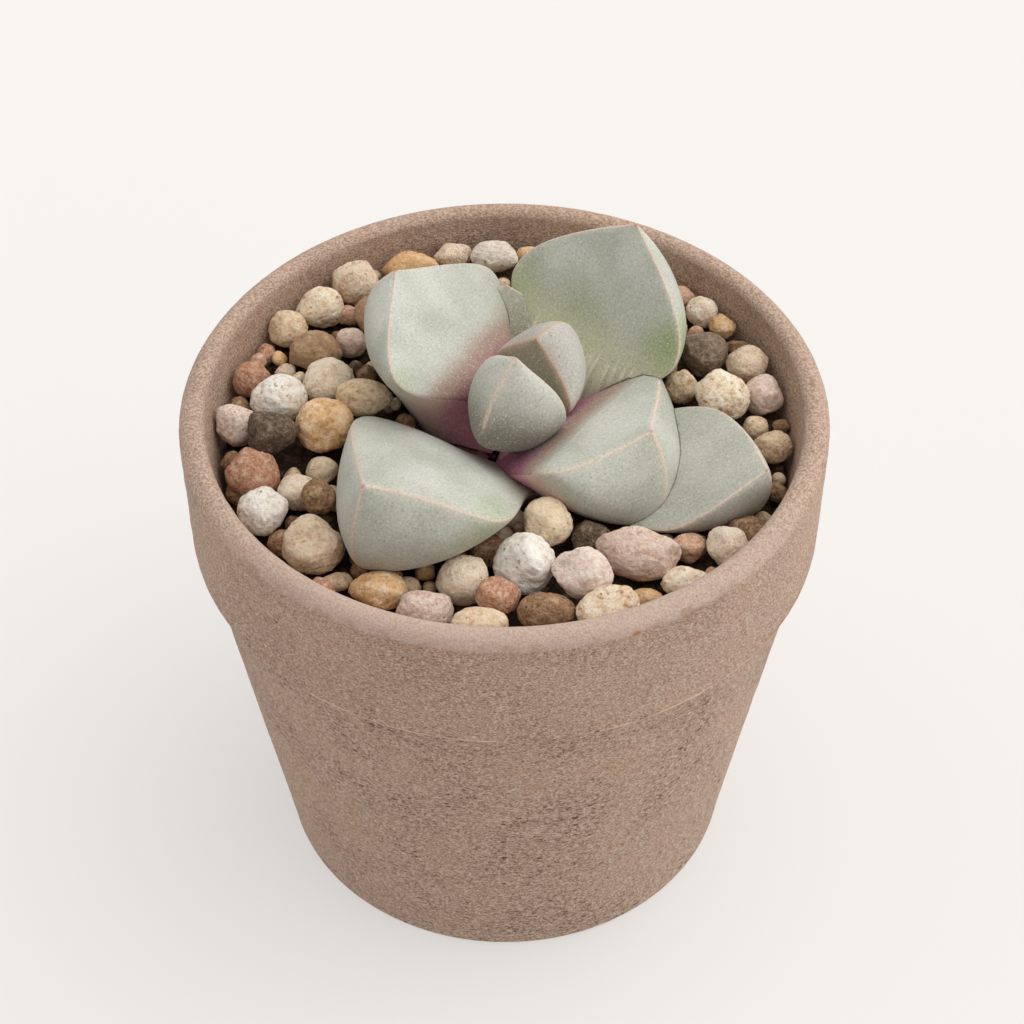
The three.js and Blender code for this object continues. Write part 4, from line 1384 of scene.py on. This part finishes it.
def soft_sky(stage):
    """A white sky that is brighter to both sides and in the direction of its lean."""
    world = bpy.data.worlds.new("soft_sky")
    world.use_nodes = True
    sky = world.node_tree
    toward = add_node(sky, "ShaderNodeTexCoord").outputs["Generated"]
    inputs = {0: toward, 1: tuple(stage.sky_lean)}
    dot = add_node(sky, "ShaderNodeVectorMath", {"operation": "DOT_PRODUCT"}, inputs)
    sideways = add_node(sky, "ShaderNodeSeparateXYZ", inputs={0: toward})
    squared = add_node(sky, MATHS, MULTIPLY, {0: sideways, 1: sideways})
    leaning = add_node(sky, MATHS, ADD, {0: dot.outputs["Value"], 1: stage.sky})
    strength = add_node(
        sky, MATHS, MULTIPLY_ADD, {0: squared, 1: stage.sky_sides, 2: leaning}
    )
    background = sky.nodes["Background"]
    background.inputs["Color"].default_value = linear("#FFFFFF")
    sky.links.new(strength.outputs[0], background.inputs["Strength"])
    return world


class LAPIDARIA_OT_stage(bpy.types.Operator):
    """Build the floor, the lights and the camera"""

    bl_idname = "lapidaria.stage"
    bl_label = "Stage"

    def execute(self, context):
        scene = context.scene
        stage = scene.lapidaria_stage
        lay_floor(stage)
        scene.world = soft_sky(stage)

        sun = bpy.data.lights.new("soft_key", "SUN")
        sun.energy = stage.sun
        sun.angle = stage.sun_spread
        sun.color = linear("#FFFBF6")[:3]
        lamp = bpy.data.objects.new("soft_key", sun)
        lamp.rotation_euler = Vector(stage.sun_from).to_track_quat("Z", "Y").to_euler()
        scene.collection.objects.link(lamp)

        camera = bpy.data.cameras.new("camera")
        camera.lens = stage.lens
        camera.sensor_width = 36
        camera.clip_start = 0.01
        viewer = bpy.data.objects.new("camera", camera)
        down = stage.elevation
        back = Vector((0, -math.cos(down), math.sin(down)))
        viewer.location = Vector((stage.aim_x, 0, stage.aim_height)) + back * stage.distance
        viewer.rotation_euler = Euler((math.pi / 2 - down, 0, 0))
        scene.collection.objects.link(viewer)
        scene.camera = viewer
        scene.view_settings.view_transform = "Standard"
        return {"FINISHED"}


# ---- Panel, registration and order of work -------------------------------------------------


class LAPIDARIA_PT_panel(bpy.types.Panel):
    """Lists the pieces of the potted lapidaria"""

    bl_label = "Potted lapidaria"
    bl_space_type = "VIEW_3D"
    bl_region_type = "UI"
    bl_category = "Lapidaria"

    def draw(self, context):
        for operator in OPERATORS:
            self.layout.operator(operator.bl_idname)


SETTINGS = {
    "lapidaria_pot": PotSettings,
    "lapidaria_leaves": LeafSettings,
    "lapidaria_pebbles": PebbleSettings,
    "lapidaria_stage": StageSettings,
}
OPERATORS = [
    LAPIDARIA_OT_stage,
    LAPIDARIA_OT_pot,
    LAPIDARIA_OT_leaves,
    LAPIDARIA_OT_pebbles,
    LAPIDARIA_OT_filling,
]


def register():
    for group in SETTINGS.values():
        bpy.utils.register_class(group)
    for kind in [*OPERATORS, LAPIDARIA_PT_panel]:
        bpy.utils.register_class(kind)
    for name, group in SETTINGS.items():
        setattr(bpy.types.Scene, name, PointerProperty(type=group))


def unregister():
    for name in SETTINGS:
        delattr(bpy.types.Scene, name)
    for kind in [LAPIDARIA_PT_panel, *reversed(OPERATORS)]:
        bpy.utils.unregister_class(kind)
    for group in reversed(SETTINGS.values()):
        bpy.utils.unregister_class(group)


def main():
    register()
    for operator in OPERATORS:
        module, name = operator.bl_idname.split(".")
        getattr(getattr(bpy.ops, module), name)()


if __name__ == "__main__":
    main()
